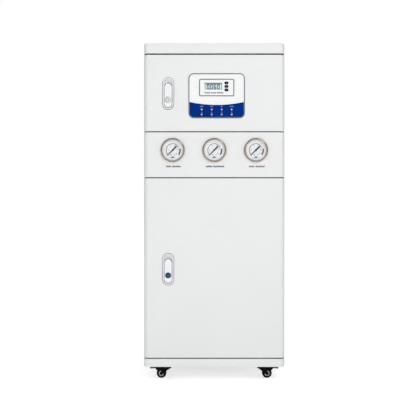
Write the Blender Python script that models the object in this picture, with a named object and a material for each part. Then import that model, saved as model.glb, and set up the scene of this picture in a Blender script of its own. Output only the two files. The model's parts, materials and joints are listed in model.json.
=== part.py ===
"""Laboratory water purifier: a white sheet-metal cabinet that stands on four casters.

Metres, +Z up. The front looks towards -Y. The origin is on the floor, under the middle of the whole
object. Each cabinet piece is drawn in its own frame: x from the cabinet's middle, y backwards from the
cabinet's front face, z up from the piece's own lower edge.
"""

import math

import bmesh
import bpy
from mathutils import Matrix, Vector

# Cabinet, from the floor up
CABINET_WIDTH = 0.420
CABINET_DEPTH = 0.467
FRONT_CORNER_RADIUS = 0.014
REAR_CORNER_RADIUS = 0.004
CASTER_HEIGHT = 0.042
BASE_HEIGHT = 0.024
LOWER_DOOR_HEIGHT = 0.535
GAUGE_PANEL_HEIGHT = 0.134
UPPER_DOOR_HEIGHT = 0.228
COVER_HEIGHT = 0.030
DOOR_GAP = 0.003
COVER_GAP = 0.004

# Clearances and sheet metal
SEAT_GAP = 0.0003
RUNNING_GAP = 0.0003
OVERRUN = 0.002
TRAY_WALL = 0.002
SHEET = 0.0015
TRAY_RIM = 0.022
COVER_EDGE_RADIUS = 0.0025

# Doors and hinge rods
DOOR_DEPTH = 0.020
DOOR_RIM = 0.012
HINGE_ROD_RADIUS = 0.0025
HINGE_ROD_GRIP = 0.008

# Side panels
SIDE_CLEARANCE = 0.0035
FLANGE_SETBACK = 0.0065
FLANGE_WIDTH = 0.025
REAR_COVER_INSET = 0.003

# Rear panel
VENT_LENGTH = 0.070
VENT_HEIGHT = 0.004
VENT_PITCH = 0.012
VENT_COLUMN_PITCH = 0.094
UPPER_VENT_HEIGHT = 0.845
LOWER_VENT_HEIGHT = 0.100
VENT_ROWS = 5
VENT_COLUMNS = 3

# Electronics shelf
SHELF_LIP = 0.020

# Pan locks
LOCK_WIDTH = 0.033
LOCK_HEIGHT = 0.094
LOCK_SIDE_DISTANCE = 0.0724
UPPER_LOCK_HEIGHT = 0.112
LOWER_LOCK_HEIGHT = 0.2637
LOCK_FLANGE_WIDTH = 0.002
LOCK_FLANGE_THICKNESS = 0.002
LOCK_WALL = 0.0015
LOCK_FLOOR_DEPTH = 0.0105
LOCK_NECK_RADIUS = 0.010
LOCK_NECK_DEPTH = 0.030
CYLINDER_RADIUS = 0.00775
CYLINDER_DROP = 0.018
CYLINDER_LENGTH = 0.0365
STUD_RADIUS = 0.0035
STUD_LENGTH = 0.005
KEYWAY_WIDTH = 0.0014
KEYWAY_HEIGHT = 0.007
KEYWAY_DEPTH = 0.003
PADDLE_WIDTH = 0.0214
PADDLE_THICKNESS = 0.005
PADDLE_PROUD = 0.0005
PADDLE_TOP = 0.0327
PADDLE_FOOT = 0.0405
PADDLE_HOLE_GAP = 0.0012
PADDLE_PIVOT_DROP = 0.012
PADDLE_PIN_RADIUS = 0.0015
PIN_SOCKET_DEPTH = 0.001
CAM_LENGTH = 0.056
CAM_HALF_WIDTH = 0.008
CAM_THICKNESS = 0.003

# Pressure gauges
GAUGE_COUNT = 3
GAUGE_PITCH = 0.124
GAUGE_HEIGHT = 0.0808
BEZEL_RADIUS = 0.03575
BEZEL_REACH = 0.008
BEZEL_CHAMFER = 0.0014
BEZEL_LIP_RADIUS = 0.0308
BEZEL_LIP_THICKNESS = 0.0012
CASE_RADIUS = 0.033
CASE_WALL = 0.0013
CASE_DEPTH = 0.025
DIAL_RECESS = 0.0016
DIAL_THICKNESS = 0.001
LENS_THICKNESS = 0.002
SPOUT_RADIUS = 0.006
SPOUT_LENGTH = 0.015
POINTER_REACH = 0.024
POINTER_TAIL = 0.016
POINTER_TIP_WIDTH = 0.0008
POINTER_ROOT_WIDTH = 0.0020
POINTER_TAIL_WIDTH = 0.0034
POINTER_THICKNESS = 0.0008
POINTER_LIFT = 0.0016
POINTER_HUB_RADIUS = 0.0032
POINTER_HUB_HEIGHT = 0.003
POINTER_SHAFT_RADIUS = 0.001
POINTER_REST_DEGREES = 225

# Control unit on the upper door
CONTROL_WIDTH = 0.169
CONTROL_HEIGHT = 0.1346
CONTROL_CORNER_RADIUS = 0.016
CONTROL_REACH = 0.0053
CONTROL_EDGE_RADIUS = 0.001
CONTROL_OFFSET = 0.007
CONTROL_CENTRE_HEIGHT = 0.105
METER_WIDTH = 0.105
METER_HEIGHT = 0.052
METER_CORNER_RADIUS = 0.005
METER_RISE = 0.0243
METER_PROUD = 0.0006
METER_PLATE = 0.0021
METER_CASE_WIDTH = 0.092
METER_CASE_HEIGHT = 0.045
METER_CASE_DEPTH = 0.055
WINDOW_WIDTH = 0.051
WINDOW_HEIGHT = 0.0205
WINDOW_THICKNESS = 0.0014
WINDOW_RECESS = 0.0009
WINDOW_SIDESTEP = 0.0097
WINDOW_RISE = 0.0037
KEY_WIDTH = 0.0113
KEY_HEIGHT = 0.008
KEY_CORNER_RADIUS = 0.0036
KEY_PITCH = 0.0103
KEY_SIDESTEP = 0.029
KEY_RISE = 0.0034
KEY_PROUD = 0.0009
KEY_LENGTH = 0.007
KEY_WELL_DEPTH = 0.009
KEY_NAMES = ("key_up", "key_set", "key_down")
FASCIA_INSET = 0.004
FASCIA_THICKNESS = 0.0009
FASCIA_SHOULDER_DROP = 0.0188
FASCIA_SAG = 0.0086
FASCIA_CORNER_RADIUS = 0.012
LAMP_RADIUS = 0.003
LAMP_PROUD = 0.0006
LAMP_COLUMN_PITCH = 0.0297
LAMP_ROW_PITCH = 0.0149
LAMP_DROP = 0.0408
LAMP_COLUMNS = 4
LAMP_ROWS = 2

# Casters
CASTER_SIDE_DISTANCE = 0.063
CASTER_END_DISTANCE = 0.045
CASTER_TRAIL = 0.013
WHEEL_RADIUS = 0.015
WHEEL_WIDTH = 0.014
HUB_RADIUS = 0.006
RECESS_RADIUS = 0.0105
RECESS_DEPTH = 0.002
TREAD_SIDE_RADIUS = 0.012
AXLE_RADIUS = 0.003
WHEEL_SIDE_GAP = 0.0005
CHEEK_THICKNESS = 0.0025
FORK_ROOF = 0.0325
FORK_TOP = 0.038
FORK_NOSE = 0.018
FORK_TAIL = 0.031
FORK_BOSS_RADIUS = 0.0065
FORK_WAIST = 0.002
FORK_WAIST_HEIGHT = 0.0215
FORK_HEEL = 0.024
SWIVEL_RADIUS = 0.018
STEM_RADIUS = 0.004
STEM_LENGTH = 0.0055
PEDAL_PIVOT_REACH = 0.027
PEDAL_PIVOT_HEIGHT = 0.0285
PEDAL_PIN_RADIUS = 0.0012
PEDAL_BARREL_RADIUS = 0.0028
PEDAL_LENGTH = 0.021
PEDAL_THICKNESS = 0.0024
PEDAL_LIFT = 0.0009
PEDAL_TIP_DROP = 0.001
PEDAL_SIDE_GAP = 0.0005
SHOE_REACH = 0.0004
SHOE_DROP = 0.0046
CASTER_NAMES = ("front_left", "front_right", "rear_left", "rear_right")

# Rear services
PORT_BLOCK_WIDTH = 0.130
PORT_BLOCK_HEIGHT = 0.036
PORT_BLOCK_THICKNESS = 0.004
PORT_BLOCK_SIDE_DISTANCE = 0.130
PORT_BLOCK_ABOVE_BASE = 0.574
PORT_PITCH = 0.032
PORT_COUNT = 4
PORT_REACH = 0.025
PORT_COLLAR_RADIUS = 0.009
PORT_COLLAR_REACH = 0.010
PORT_BARB_RADIUS = 0.0055
PORT_TIP_RADIUS = 0.0042
PORT_BORE_RADIUS = 0.002
PORT_STUB_RADIUS = 0.005
PORT_STUB_LENGTH = 0.012
INLET_WIDTH = 0.050
INLET_HEIGHT = 0.058
INLET_FLANGE = 0.003
INLET_DEPTH = 0.024
INLET_CASE_INSET = 0.004
INLET_CORNER_RADIUS = 0.003
INLET_SIDE_DISTANCE = 0.090
INLET_ABOVE_BASE = 0.744
SOCKET_WIDTH = 0.024
SOCKET_HEIGHT = 0.0165
SOCKET_DEPTH = 0.017
SOCKET_RISE = 0.013
BLADE_WIDTH = 0.002
BLADE_HEIGHT = 0.004
BLADE_LENGTH = 0.015
BLADE_PITCH = 0.007
EARTH_BLADE_RISE = 0.003
ROCKER_WIDTH = 0.021
ROCKER_HEIGHT = 0.0135
ROCKER_THICKNESS = 0.006
ROCKER_GAP = 0.0007
ROCKER_WELL_DEPTH = 0.010
ROCKER_DROP = 0.014
ROCKER_TILT_DEGREES = 8
ROCKER_DISH = 0.0006
ROCKER_PIN_RADIUS = 0.001

# Filters, membrane, resin column, pump and power supply
FILTER_COUNT = 3
FILTER_PITCH = 0.125
FILTER_SETBACK = 0.100
FILTER_HEAD_RADIUS = 0.044
FILTER_HEAD_HEIGHT = 0.040
FILTER_LINK_RADIUS = 0.009
BRACKET_HEIGHT = 0.532
BRACKET_SHEET = 0.002
BRACKET_FRONT = 0.052
BRACKET_BACK = 0.150
BRACKET_LEG = 0.030
BOWL_COLLAR_RADIUS = 0.048
BOWL_COLLAR_HEIGHT = 0.022
BOWL_RADIUS = 0.043
BOWL_FOOT_RADIUS = 0.038
BOWL_LENGTH = 0.250
BOWL_CROWN = 0.014
MEMBRANE_RADIUS = 0.040
MEMBRANE_CAP_RADIUS = 0.046
MEMBRANE_CAP_HEIGHT = 0.028
MEMBRANE_LENGTH = 0.430
VESSEL_SIDE_DISTANCE = 0.085
VESSEL_REAR_DISTANCE = 0.107
COLUMN_RADIUS = 0.045
COLUMN_HEAD_RADIUS = 0.050
COLUMN_HEAD_HEIGHT = 0.034
COLUMN_LENGTH = 0.470
NIPPLE_RADIUS = 0.006
NIPPLE_LENGTH = 0.014
PUMP_MOTOR_RADIUS = 0.036
PUMP_MOTOR_LENGTH = 0.090
PUMP_HEAD_WIDTH = 0.050
PUMP_HEAD_SIZE = 0.070
PUMP_FOOT_LENGTH = 0.130
PUMP_FOOT_DEPTH = 0.080
PUMP_FOOT_THICKNESS = 0.004
PUMP_SADDLE_WIDTH = 0.016
PUMP_SADDLE_DEPTH = 0.050
PUMP_SETBACK = 0.230
PUMP_LIFT = 0.006
SUPPLY_WIDTH = 0.098
SUPPLY_DEPTH = 0.160
SUPPLY_HEIGHT = 0.042
SUPPLY_SIDE_DISTANCE = 0.110
SUPPLY_SETBACK = 0.260
SUPPLY_LEDGE_DEPTH = 0.022
SUPPLY_LEDGE_DROP = 0.018
TUBE_RADIUS = 0.003175
TUBE_PULL_SHARE = 0.35

# Facets of the round surfaces
CORNER_STEPS = 4
PANEL_STEPS = 6
SAG_STEPS = 10
TUBE_STEPS = 14
SMALL_STEPS = 10
CAP_STEPS = 8
LAMP_STEPS = 8
ROUND_STEPS = 16
GAUGE_STEPS = 24
BOWL_STEPS = 20
SMOOTH_DEGREES = 35
MERGE_DISTANCE = 0.00001

# Heights of the lower edges, worked out from the stack
BASE_Z = CASTER_HEIGHT
BASE_TOP_Z = BASE_Z + BASE_HEIGHT
LOWER_DOOR_Z = BASE_TOP_Z + DOOR_GAP
GAUGE_PANEL_Z = LOWER_DOOR_Z + LOWER_DOOR_HEIGHT + DOOR_GAP
UPPER_DOOR_Z = GAUGE_PANEL_Z + GAUGE_PANEL_HEIGHT + DOOR_GAP
COVER_Z = UPPER_DOOR_Z + UPPER_DOOR_HEIGHT + COVER_GAP
FLOOR_Z = BASE_Z + TRAY_WALL + SEAT_GAP
SHELF_Z = GAUGE_PANEL_Z + GAUGE_PANEL_HEIGHT + SEAT_GAP

# Places across and along the cabinet
HALF_WIDTH = CABINET_WIDTH / 2
FRONT_Y = BEZEL_REACH - (BEZEL_REACH + CABINET_DEPTH + PORT_REACH) / 2
HINGE_X = HALF_WIDTH - FRONT_CORNER_RADIUS
SIDE_FRONT = DOOR_DEPTH + SIDE_CLEARANCE
FLANGE_FRONT = SIDE_FRONT + FLANGE_SETBACK
FLANGE_BACK = FLANGE_FRONT + SHEET
REAR_FACE = CABINET_DEPTH - SHEET - SEAT_GAP
LOCK_X = LOCK_SIDE_DISTANCE - HALF_WIDTH
PORT_BLOCK_X = PORT_BLOCK_SIDE_DISTANCE - HALF_WIDTH
INLET_X = HALF_WIDTH - INLET_SIDE_DISTANCE
SUPPLY_X = HALF_WIDTH - SUPPLY_SIDE_DISTANCE
AXLE_Z = WHEEL_RADIUS * math.cos(math.pi / ROUND_STEPS)
PADDLE_PLANE = PADDLE_THICKNESS / 2 - SEAT_GAP - LOCK_FLANGE_THICKNESS - PADDLE_PROUD
PADDLE_PIVOT_RISE = -CYLINDER_DROP - PADDLE_PIVOT_DROP

PLANE_AXES = {"XY": (0, 1, 2), "XZ": (0, 2, 1), "YZ": (1, 2, 0)}


def clear_scene():
    """Start from an empty scene."""
    for obj in list(bpy.data.objects):
        bpy.data.objects.remove(obj, do_unlink=True)


def finish(name, colour, roughness, metallic=0.0):
    """A Principled material with the piece's colour and gloss."""
    made = bpy.data.materials.new(name)
    made.use_nodes = True
    shader = made.node_tree.nodes["Principled BSDF"]
    shader.inputs["Base Color"].default_value = (*colour, 1.0)
    shader.inputs["Roughness"].default_value = roughness
    shader.inputs["Metallic"].default_value = metallic
    made.diffuse_color = (*colour, 1.0)
    return made


def arc(centre, radius, start, end, steps):
    """Points on an arc, from the start angle to the end angle in degrees."""
    points = []
    for step in range(steps + 1):
        angle = math.radians(start + (end - start) * step / steps)
        points.append((centre[0] + radius * math.cos(angle), centre[1] + radius * math.sin(angle)))
    return points


def rectangle(low, high):
    """The four corners of a rectangle, counterclockwise."""
    return [(low[0], low[1]), (high[0], low[1]), (high[0], high[1]), (low[0], high[1])]


def centred(width, height, middle=(0, 0)):
    """The low and high corners of a rectangle round its middle."""
    low = (middle[0] - width / 2, middle[1] - height / 2)
    high = (middle[0] + width / 2, middle[1] + height / 2)
    return low, high


def rounded(low, high, low_radius, high_radius=None, steps=CORNER_STEPS):
    """A rectangle's outline with one radius on its lower corners and one on its upper corners."""
    if high_radius is None:
        high_radius = low_radius
    points = []
    points += arc((low[0] + low_radius, low[1] + low_radius), low_radius, 180, 270, steps)
    points += arc((high[0] - low_radius, low[1] + low_radius), low_radius, 270, 360, steps)
    points += arc((high[0] - high_radius, high[1] - high_radius), high_radius, 0, 90, steps)
    points += arc((low[0] + high_radius, high[1] - high_radius), high_radius, 90, 180, steps)
    return points


def stadium(width, top, foot):
    """A slot's outline with round ends, between its top and foot heights."""
    radius = width / 2
    points = arc((0, top - radius), radius, 0, 180, CAP_STEPS)
    points += arc((0, foot + radius), radius, 180, 360, CAP_STEPS)
    return points


def circle(centre, radius, steps):
    """A circle's outline."""
    return arc(centre, radius, 0, 360, steps)[:-1]


def prism(outline, plane, start, end):
    """A closed solid with the outline in the named plane, from start to end across it."""
    across, up, along = PLANE_AXES[plane]
    mesh = bmesh.new()
    corners = []
    for first, second in outline:
        place = Vector((0, 0, 0))
        place[across] = first
        place[up] = second
        place[along] = start
        corners.append(mesh.verts.new(place))
    face = mesh.faces.new(corners)
    grown = bmesh.ops.extrude_face_region(mesh, geom=[face])
    shift = Vector((0, 0, 0))
    shift[along] = end - start
    far_end = [item for item in grown["geom"] if isinstance(item, bmesh.types.BMVert)]
    bmesh.ops.translate(mesh, vec=shift, verts=far_end)
    bmesh.ops.recalc_face_normals(mesh, faces=mesh.faces[:])
    return mesh


def turned(profile, steps, ring=False):
    """A solid of revolution about Z from (radius, height) pairs; a ring's profile is a closed loop."""
    mesh = bmesh.new()
    verts = [mesh.verts.new((radius, 0, height)) for radius, height in profile]
    edges = [mesh.edges.new(pair) for pair in zip(verts, verts[1:])]
    if ring:
        edges.append(mesh.edges.new((verts[-1], verts[0])))
    bmesh.ops.spin(
        mesh, geom=verts + edges, cent=(0, 0, 0), axis=(0, 0, 1),
        angle=math.tau, steps=steps, use_merge=True,
    )
    bmesh.ops.remove_doubles(mesh, verts=mesh.verts[:], dist=MERGE_DISTANCE)
    bmesh.ops.recalc_face_normals(mesh, faces=mesh.faces[:])
    return mesh


def rotated(mesh, angle, axis):
    """Turn a mesh about an axis of its own frame, by an angle in radians."""
    matrix = Matrix.Rotation(angle, 3, axis)
    bmesh.ops.rotate(mesh, verts=mesh.verts[:], cent=(0, 0, 0), matrix=matrix)
    return mesh


def facing_front(mesh):
    """Turn a mesh drawn along +Z so that its top looks to the front, along -Y."""
    return rotated(mesh, math.pi / 2, "X")


def moved(mesh, offset):
    """Shift a mesh."""
    bmesh.ops.translate(mesh, vec=offset, verts=mesh.verts[:])
    return mesh


def together(meshes):
    """Gather solids that lie apart into one mesh."""
    gathered = bmesh.new()
    for mesh in meshes:
        data = bpy.data.meshes.new("gathered")
        mesh.to_mesh(data)
        mesh.free()
        gathered.from_mesh(data)
        bpy.data.meshes.remove(data)
    return gathered


def add_object(name, mesh, surface, location=(0, 0, 0), smooth=False):
    """Put a mesh into the scene as a named piece."""
    data = bpy.data.meshes.new(name)
    mesh.to_mesh(data)
    mesh.free()
    obj = bpy.data.objects.new(name, data)
    bpy.context.collection.objects.link(obj)
    obj.location = location
    data.materials.append(surface)
    if smooth:
        data.shade_smooth()
        data.set_sharp_from_angle(angle=math.radians(SMOOTH_DEGREES))
    return obj


def add_empty(name, location):
    """An empty that carries pieces which move together."""
    empty = bpy.data.objects.new(name, None)
    bpy.context.collection.objects.link(empty)
    empty.location = location
    return empty


def world_place(obj):
    """Where a piece's origin lies in the world."""
    place = Vector(obj.location)
    while obj.parent:
        obj = obj.parent
        place += Vector(obj.location)
    return place


def attach(child, parent):
    """Parent a piece without moving it."""
    child.location = world_place(child) - world_place(parent)
    child.parent = parent


def combine(target, mesh, operation):
    """Cut a mesh drawn in the piece's own frame out of it, or join it on."""
    label = f"{target.name}_{operation.lower()}_{len(target.modifiers)}"
    tool = add_object(label, mesh, target.data.materials[0])
    tool.hide_render = True
    tool.display_type = "WIRE"
    tool.parent = target
    boolean = target.modifiers.new(label, "BOOLEAN")
    boolean.operation = operation
    boolean.solver = "EXACT"
    boolean.object = tool


def cut(target, *meshes):
    """Cut each mesh out of the piece."""
    for mesh in meshes:
        combine(target, mesh, "DIFFERENCE")


def join(target, *meshes):
    """Join each mesh on to the piece."""
    for mesh in meshes:
        combine(target, mesh, "UNION")


def spread(count, pitch):
    """Evenly spaced places on both sides of the middle."""
    return [(index - (count - 1) / 2) * pitch for index in range(count)]


def shifted(outline, across, up):
    """An outline moved in its own plane."""
    return [(first + across, second + up) for first, second in outline]


def softened(mesh, plane_axis, level, radius):
    """Round the edges that lie at one level of an axis."""
    edges = []
    for edge in mesh.edges:
        if all(abs(vert.co[plane_axis] - level) < MERGE_DISTANCE for vert in edge.verts):
            edges.append(edge)
    bmesh.ops.bevel(mesh, geom=edges, offset=radius, segments=2, profile=0.5, affect="EDGES")
    return mesh


def make_finishes():
    """The surfaces that the pieces share."""
    return {
        "white_sheet": finish("white_sheet", (0.87, 0.88, 0.875), 0.45),
        "white_plastic": finish("white_plastic", (0.92, 0.93, 0.93), 0.35),
        "steel": finish("steel", (0.55, 0.54, 0.52), 0.30, 1.0),
        "zinc": finish("zinc", (0.72, 0.73, 0.74), 0.38, 1.0),
        "lock_white": finish("lock_white", (0.86, 0.87, 0.88), 0.35),
        "lock_blue": finish("lock_blue", (0.08, 0.16, 0.30), 0.35),
        "dial": finish("dial", (0.82, 0.86, 0.90), 0.55),
        "black": finish("black", (0.02, 0.02, 0.022), 0.45),
        "glass": finish("glass", (0.80, 0.86, 0.88), 0.05),
        "fascia_blue": finish("fascia_blue", (0.010, 0.030, 0.20), 0.30),
        "key_navy": finish("key_navy", (0.02, 0.03, 0.12), 0.40),
        "rubber": finish("rubber", (0.03, 0.03, 0.032), 0.70),
        "filter_blue": finish("filter_blue", (0.05, 0.20, 0.55), 0.35),
        "membrane_white": finish("membrane_white", (0.85, 0.86, 0.84), 0.40),
        "tube_blue": finish("tube_blue", (0.10, 0.35, 0.75), 0.40),
    }


def cabinet_plan(inset=0):
    """The cabinet's plan from above, drawn in from its faces, with its front corners round."""
    low = (inset - HALF_WIDTH, inset)
    high = (HALF_WIDTH - inset, CABINET_DEPTH - inset)
    front_radius = FRONT_CORNER_RADIUS - inset
    return rounded(low, high, front_radius, REAR_CORNER_RADIUS - inset, PANEL_STEPS)


def hinge_bore(start, end):
    """The hole for a hinge rod, on the axis of the doors' round edge."""
    outline = circle((HINGE_X, FRONT_CORNER_RADIUS), HINGE_ROD_RADIUS + RUNNING_GAP, SMALL_STEPS)
    return prism(outline, "XY", start, end)


def rim_mouth(start, end):
    """The opening inside a deck tray's rim."""
    low = (TRAY_RIM - HALF_WIDTH, TRAY_RIM)
    high = (HALF_WIDTH - TRAY_RIM, CABINET_DEPTH - TRAY_RIM)
    return prism(rectangle(low, high), "XY", start, end)


def base_tray():
    """The plinth: a tray with its floor below, which takes the casters' stems."""
    mesh = prism(cabinet_plan(), "XY", 0, BASE_HEIGHT)
    tray = add_object("base_tray", mesh, FINISHES["white_sheet"], (0, FRONT_Y, BASE_Z), smooth=True)
    under_rim = BASE_HEIGHT - TRAY_WALL
    cut(tray, prism(cabinet_plan(TRAY_WALL), "XY", TRAY_WALL, under_rim))
    cut(tray, rim_mouth(under_rim - OVERRUN, BASE_HEIGHT + OVERRUN))
    cut(tray, hinge_bore(under_rim - OVERRUN, BASE_HEIGHT + OVERRUN))
    holes = []
    for x, y, _side in caster_places():
        outline = circle((x, y), STEM_RADIUS + RUNNING_GAP, SMALL_STEPS)
        holes.append(prism(outline, "XY", -OVERRUN, TRAY_WALL + OVERRUN))
    cut(tray, together(holes))
    return tray


def top_cover():
    """The lid: the same tray upside down, with its upper edge rounded."""
    mesh = prism(cabinet_plan(), "XY", 0, COVER_HEIGHT)
    softened(mesh, 2, COVER_HEIGHT, COVER_EDGE_RADIUS)
    cover = add_object("top_cover", mesh, FINISHES["white_sheet"], (0, FRONT_Y, COVER_Z), smooth=True)
    cut(cover, prism(cabinet_plan(TRAY_WALL), "XY", TRAY_WALL, COVER_HEIGHT - TRAY_WALL))
    cut(cover, rim_mouth(-OVERRUN, TRAY_WALL + OVERRUN))
    cut(cover, hinge_bore(-OVERRUN, TRAY_WALL + OVERRUN))
    return cover


def side_panel(name, side):
    """A folded side sheet with a flange at each end; side is -1 on the left and 1 on the right."""
    inner = HALF_WIDTH - SHEET
    edge = inner - FLANGE_WIDTH
    half_plan = [
        (HALF_WIDTH, SIDE_FRONT),
        (HALF_WIDTH, REAR_FACE),
        (edge, REAR_FACE),
        (edge, REAR_FACE - SHEET),
        (inner, REAR_FACE - SHEET),
        (inner, FLANGE_BACK),
        (edge, FLANGE_BACK),
        (edge, FLANGE_FRONT),
        (inner, FLANGE_FRONT),
        (inner, SIDE_FRONT),
    ]
    plan = [(side * x, y) for x, y in half_plan]
    mesh = prism(plan, "XY", SEAT_GAP, COVER_Z - BASE_TOP_Z - SEAT_GAP)
    return add_object(name, mesh, FINISHES["white_sheet"], (0, FRONT_Y, BASE_TOP_Z))


def vent_field(middle_height):
    """A block of horizontal slots through the rear panel."""
    slots = []
    for x in spread(VENT_COLUMNS, VENT_COLUMN_PITCH):
        for rise in spread(VENT_ROWS, VENT_PITCH):
            low, high = centred(VENT_LENGTH, VENT_HEIGHT, (x, middle_height + rise))
            slots.append(prism(rectangle(low, high), "XZ", REAR_FACE, CABINET_DEPTH + OVERRUN))
    return together(slots)


def rear_panel():
    """The flat rear sheet with its vents and the holes for the rear services."""
    half = HALF_WIDTH - REAR_COVER_INSET
    outline = rectangle((-half, SEAT_GAP), (half, COVER_Z - BASE_TOP_Z - SEAT_GAP))
    mesh = prism(outline, "XZ", CABINET_DEPTH - SHEET, CABINET_DEPTH)
    panel = add_object("rear_panel", mesh, FINISHES["white_sheet"], (0, FRONT_Y, BASE_TOP_Z))
    cut(panel, vent_field(UPPER_VENT_HEIGHT), vent_field(LOWER_VENT_HEIGHT))
    holes = []
    for x in port_places():
        outline = circle((x, PORT_BLOCK_ABOVE_BASE), PORT_STUB_RADIUS + SEAT_GAP, SMALL_STEPS)
        holes.append(prism(outline, "XZ", REAR_FACE, CABINET_DEPTH + OVERRUN))
    width = INLET_WIDTH - 2 * INLET_CASE_INSET + 2 * SEAT_GAP
    height = INLET_HEIGHT - 2 * INLET_CASE_INSET + 2 * SEAT_GAP
    low, high = centred(width, height, (INLET_X, INLET_ABOVE_BASE))
    holes.append(prism(rectangle(low, high), "XZ", REAR_FACE, CABINET_DEPTH + OVERRUN))
    cut(panel, together(holes))
    return panel


def electronics_shelf():
    """The shelf between the two compartments, with its sides turned down against the side panels."""
    half = HALF_WIDTH - SHEET - SEAT_GAP
    profile = [
        (-half, -SHELF_LIP),
        (SHEET - half, -SHELF_LIP),
        (SHEET - half, 0),
        (half - SHEET, 0),
        (half - SHEET, -SHELF_LIP),
        (half, -SHELF_LIP),
        (half, SHEET),
        (-half, SHEET),
    ]
    mesh = prism(profile, "XZ", FLANGE_BACK + SEAT_GAP, REAR_FACE - SHEET - SEAT_GAP)
    return add_object("electronics_shelf", mesh, FINISHES["zinc"], (0, FRONT_Y, SHELF_Z))


def front_plan(depth, inset=0):
    """The plan of a tray that closes the cabinet's front: round front corners and a square back."""
    radius = FRONT_CORNER_RADIUS - inset
    left = inset - HALF_WIDTH
    right = HALF_WIDTH - inset
    points = [(right, depth), (left, depth)]
    points += arc((left + radius, inset + radius), radius, 180, 270, PANEL_STEPS)
    points += arc((right - radius, inset + radius), radius, 270, 360, PANEL_STEPS)
    return points


def front_tray(name, lower_edge, height, depth):
    """A sheet tray across the front, open at the back inside a rim, bored for its hinge rod."""
    mesh = prism(front_plan(depth), "XY", 0, height)
    tray = add_object(name, mesh, FINISHES["white_sheet"], (0, FRONT_Y, lower_edge), smooth=True)
    cut(tray, prism(front_plan(depth - SHEET, SHEET), "XY", SHEET, height - SHEET))
    low = (DOOR_RIM - HALF_WIDTH, DOOR_RIM)
    high = (HALF_WIDTH - DOOR_RIM, height - DOOR_RIM)
    cut(tray, prism(rectangle(low, high), "XZ", depth - SHEET - OVERRUN, depth + OVERRUN))
    cut(tray, hinge_bore(-OVERRUN, height + OVERRUN))
    return tray


def gauge_panel():
    """The fixed band between the doors, with a hole for each gauge."""
    panel = front_tray("gauge_panel", GAUGE_PANEL_Z, GAUGE_PANEL_HEIGHT, SIDE_FRONT - SEAT_GAP)
    holes = []
    for x in gauge_places():
        outline = circle((x, GAUGE_HEIGHT), CASE_RADIUS + SEAT_GAP, GAUGE_STEPS)
        holes.append(prism(outline, "XZ", -OVERRUN, SHEET + OVERRUN))
    cut(panel, together(holes))
    return panel


def lock_body_width():
    """The width of a lock pan behind its flange."""
    return LOCK_WIDTH - 2 * LOCK_FLANGE_WIDTH


def door(name, lower_edge, height, lock_height):
    """A door tray on an empty that lies on its hinge axis, with a hole for its lock."""
    hinge = add_empty(f"{name}_hinge", (HINGE_X, FRONT_Y + FRONT_CORNER_RADIUS, lower_edge))
    tray = front_tray(name, lower_edge, height, DOOR_DEPTH)
    width = lock_body_width() + 2 * SEAT_GAP
    reach = LOCK_HEIGHT / 2 - LOCK_FLANGE_WIDTH + SEAT_GAP
    outline = shifted(stadium(width, reach, -reach), LOCK_X, lock_height)
    cut(tray, prism(outline, "XZ", -OVERRUN, SHEET + OVERRUN))
    attach(tray, hinge)
    return tray


def hinge_rod(name, low, high):
    """A door's hinge rod, held in the cabinet above and below the door."""
    mesh = prism(circle((0, 0), HINGE_ROD_RADIUS, SMALL_STEPS), "XY", 0, high - low)
    place = (HINGE_X, FRONT_Y + FRONT_CORNER_RADIUS, low)
    return add_object(name, mesh, FINISHES["steel"], place, smooth=True)


def lock_pan(name, place):
    """The oval pan: flange in front of the door, cup behind it and a neck for the key cylinder."""
    half = LOCK_HEIGHT / 2
    flange_front = -SEAT_GAP - LOCK_FLANGE_THICKNESS
    mesh = prism(stadium(LOCK_WIDTH, half, -half), "XZ", flange_front, -SEAT_GAP)
    pan = add_object(name, mesh, FINISHES["lock_white"], place, smooth=True)
    width = lock_body_width()
    reach = half - LOCK_FLANGE_WIDTH
    back = LOCK_FLOOR_DEPTH + LOCK_WALL
    inside_flange = flange_front + LOCK_FLANGE_THICKNESS / 2
    join(pan, prism(stadium(width, reach, -reach), "XZ", inside_flange, back))
    axis = (0, -CYLINDER_DROP)
    neck = prism(circle(axis, LOCK_NECK_RADIUS, ROUND_STEPS), "XZ", back - LOCK_WALL / 2, LOCK_NECK_DEPTH)
    join(pan, neck)
    width -= 2 * LOCK_WALL
    reach -= LOCK_WALL
    cut(pan, prism(stadium(width, reach, -reach), "XZ", flange_front - OVERRUN, LOCK_FLOOR_DEPTH))
    bore = circle(axis, CYLINDER_RADIUS + RUNNING_GAP, ROUND_STEPS)
    cut(pan, prism(bore, "XZ", LOCK_FLOOR_DEPTH - OVERRUN, LOCK_NECK_DEPTH + OVERRUN))
    socket = circle((PADDLE_PLANE, PADDLE_PIVOT_RISE), PADDLE_PIN_RADIUS + RUNNING_GAP, SMALL_STEPS)
    length = width / 2 + PIN_SOCKET_DEPTH
    cut(pan, prism(socket, "YZ", -length, length))
    return pan


def lock_paddle(name, place):
    """The lift paddle, drawn round its own pivot pin, with a hole round the key cylinder."""
    top = PADDLE_TOP - PADDLE_PIVOT_RISE
    foot = -PADDLE_FOOT - PADDLE_PIVOT_RISE
    half = PADDLE_THICKNESS / 2
    mesh = prism(stadium(PADDLE_WIDTH, top, foot), "XZ", -half, half)
    pivot = Vector(place) + Vector((0, PADDLE_PLANE, PADDLE_PIVOT_RISE))
    paddle = add_object(name, mesh, FINISHES["lock_white"], pivot, smooth=True)
    reach = lock_body_width() / 2 - LOCK_WALL + PIN_SOCKET_DEPTH - SEAT_GAP
    join(paddle, prism(circle((0, 0), PADDLE_PIN_RADIUS, SMALL_STEPS), "YZ", -reach, reach))
    hole = circle((0, PADDLE_PIVOT_DROP), CYLINDER_RADIUS + PADDLE_HOLE_GAP, ROUND_STEPS)
    cut(paddle, prism(hole, "XZ", -half - OVERRUN, half + OVERRUN))
    return paddle


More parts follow.
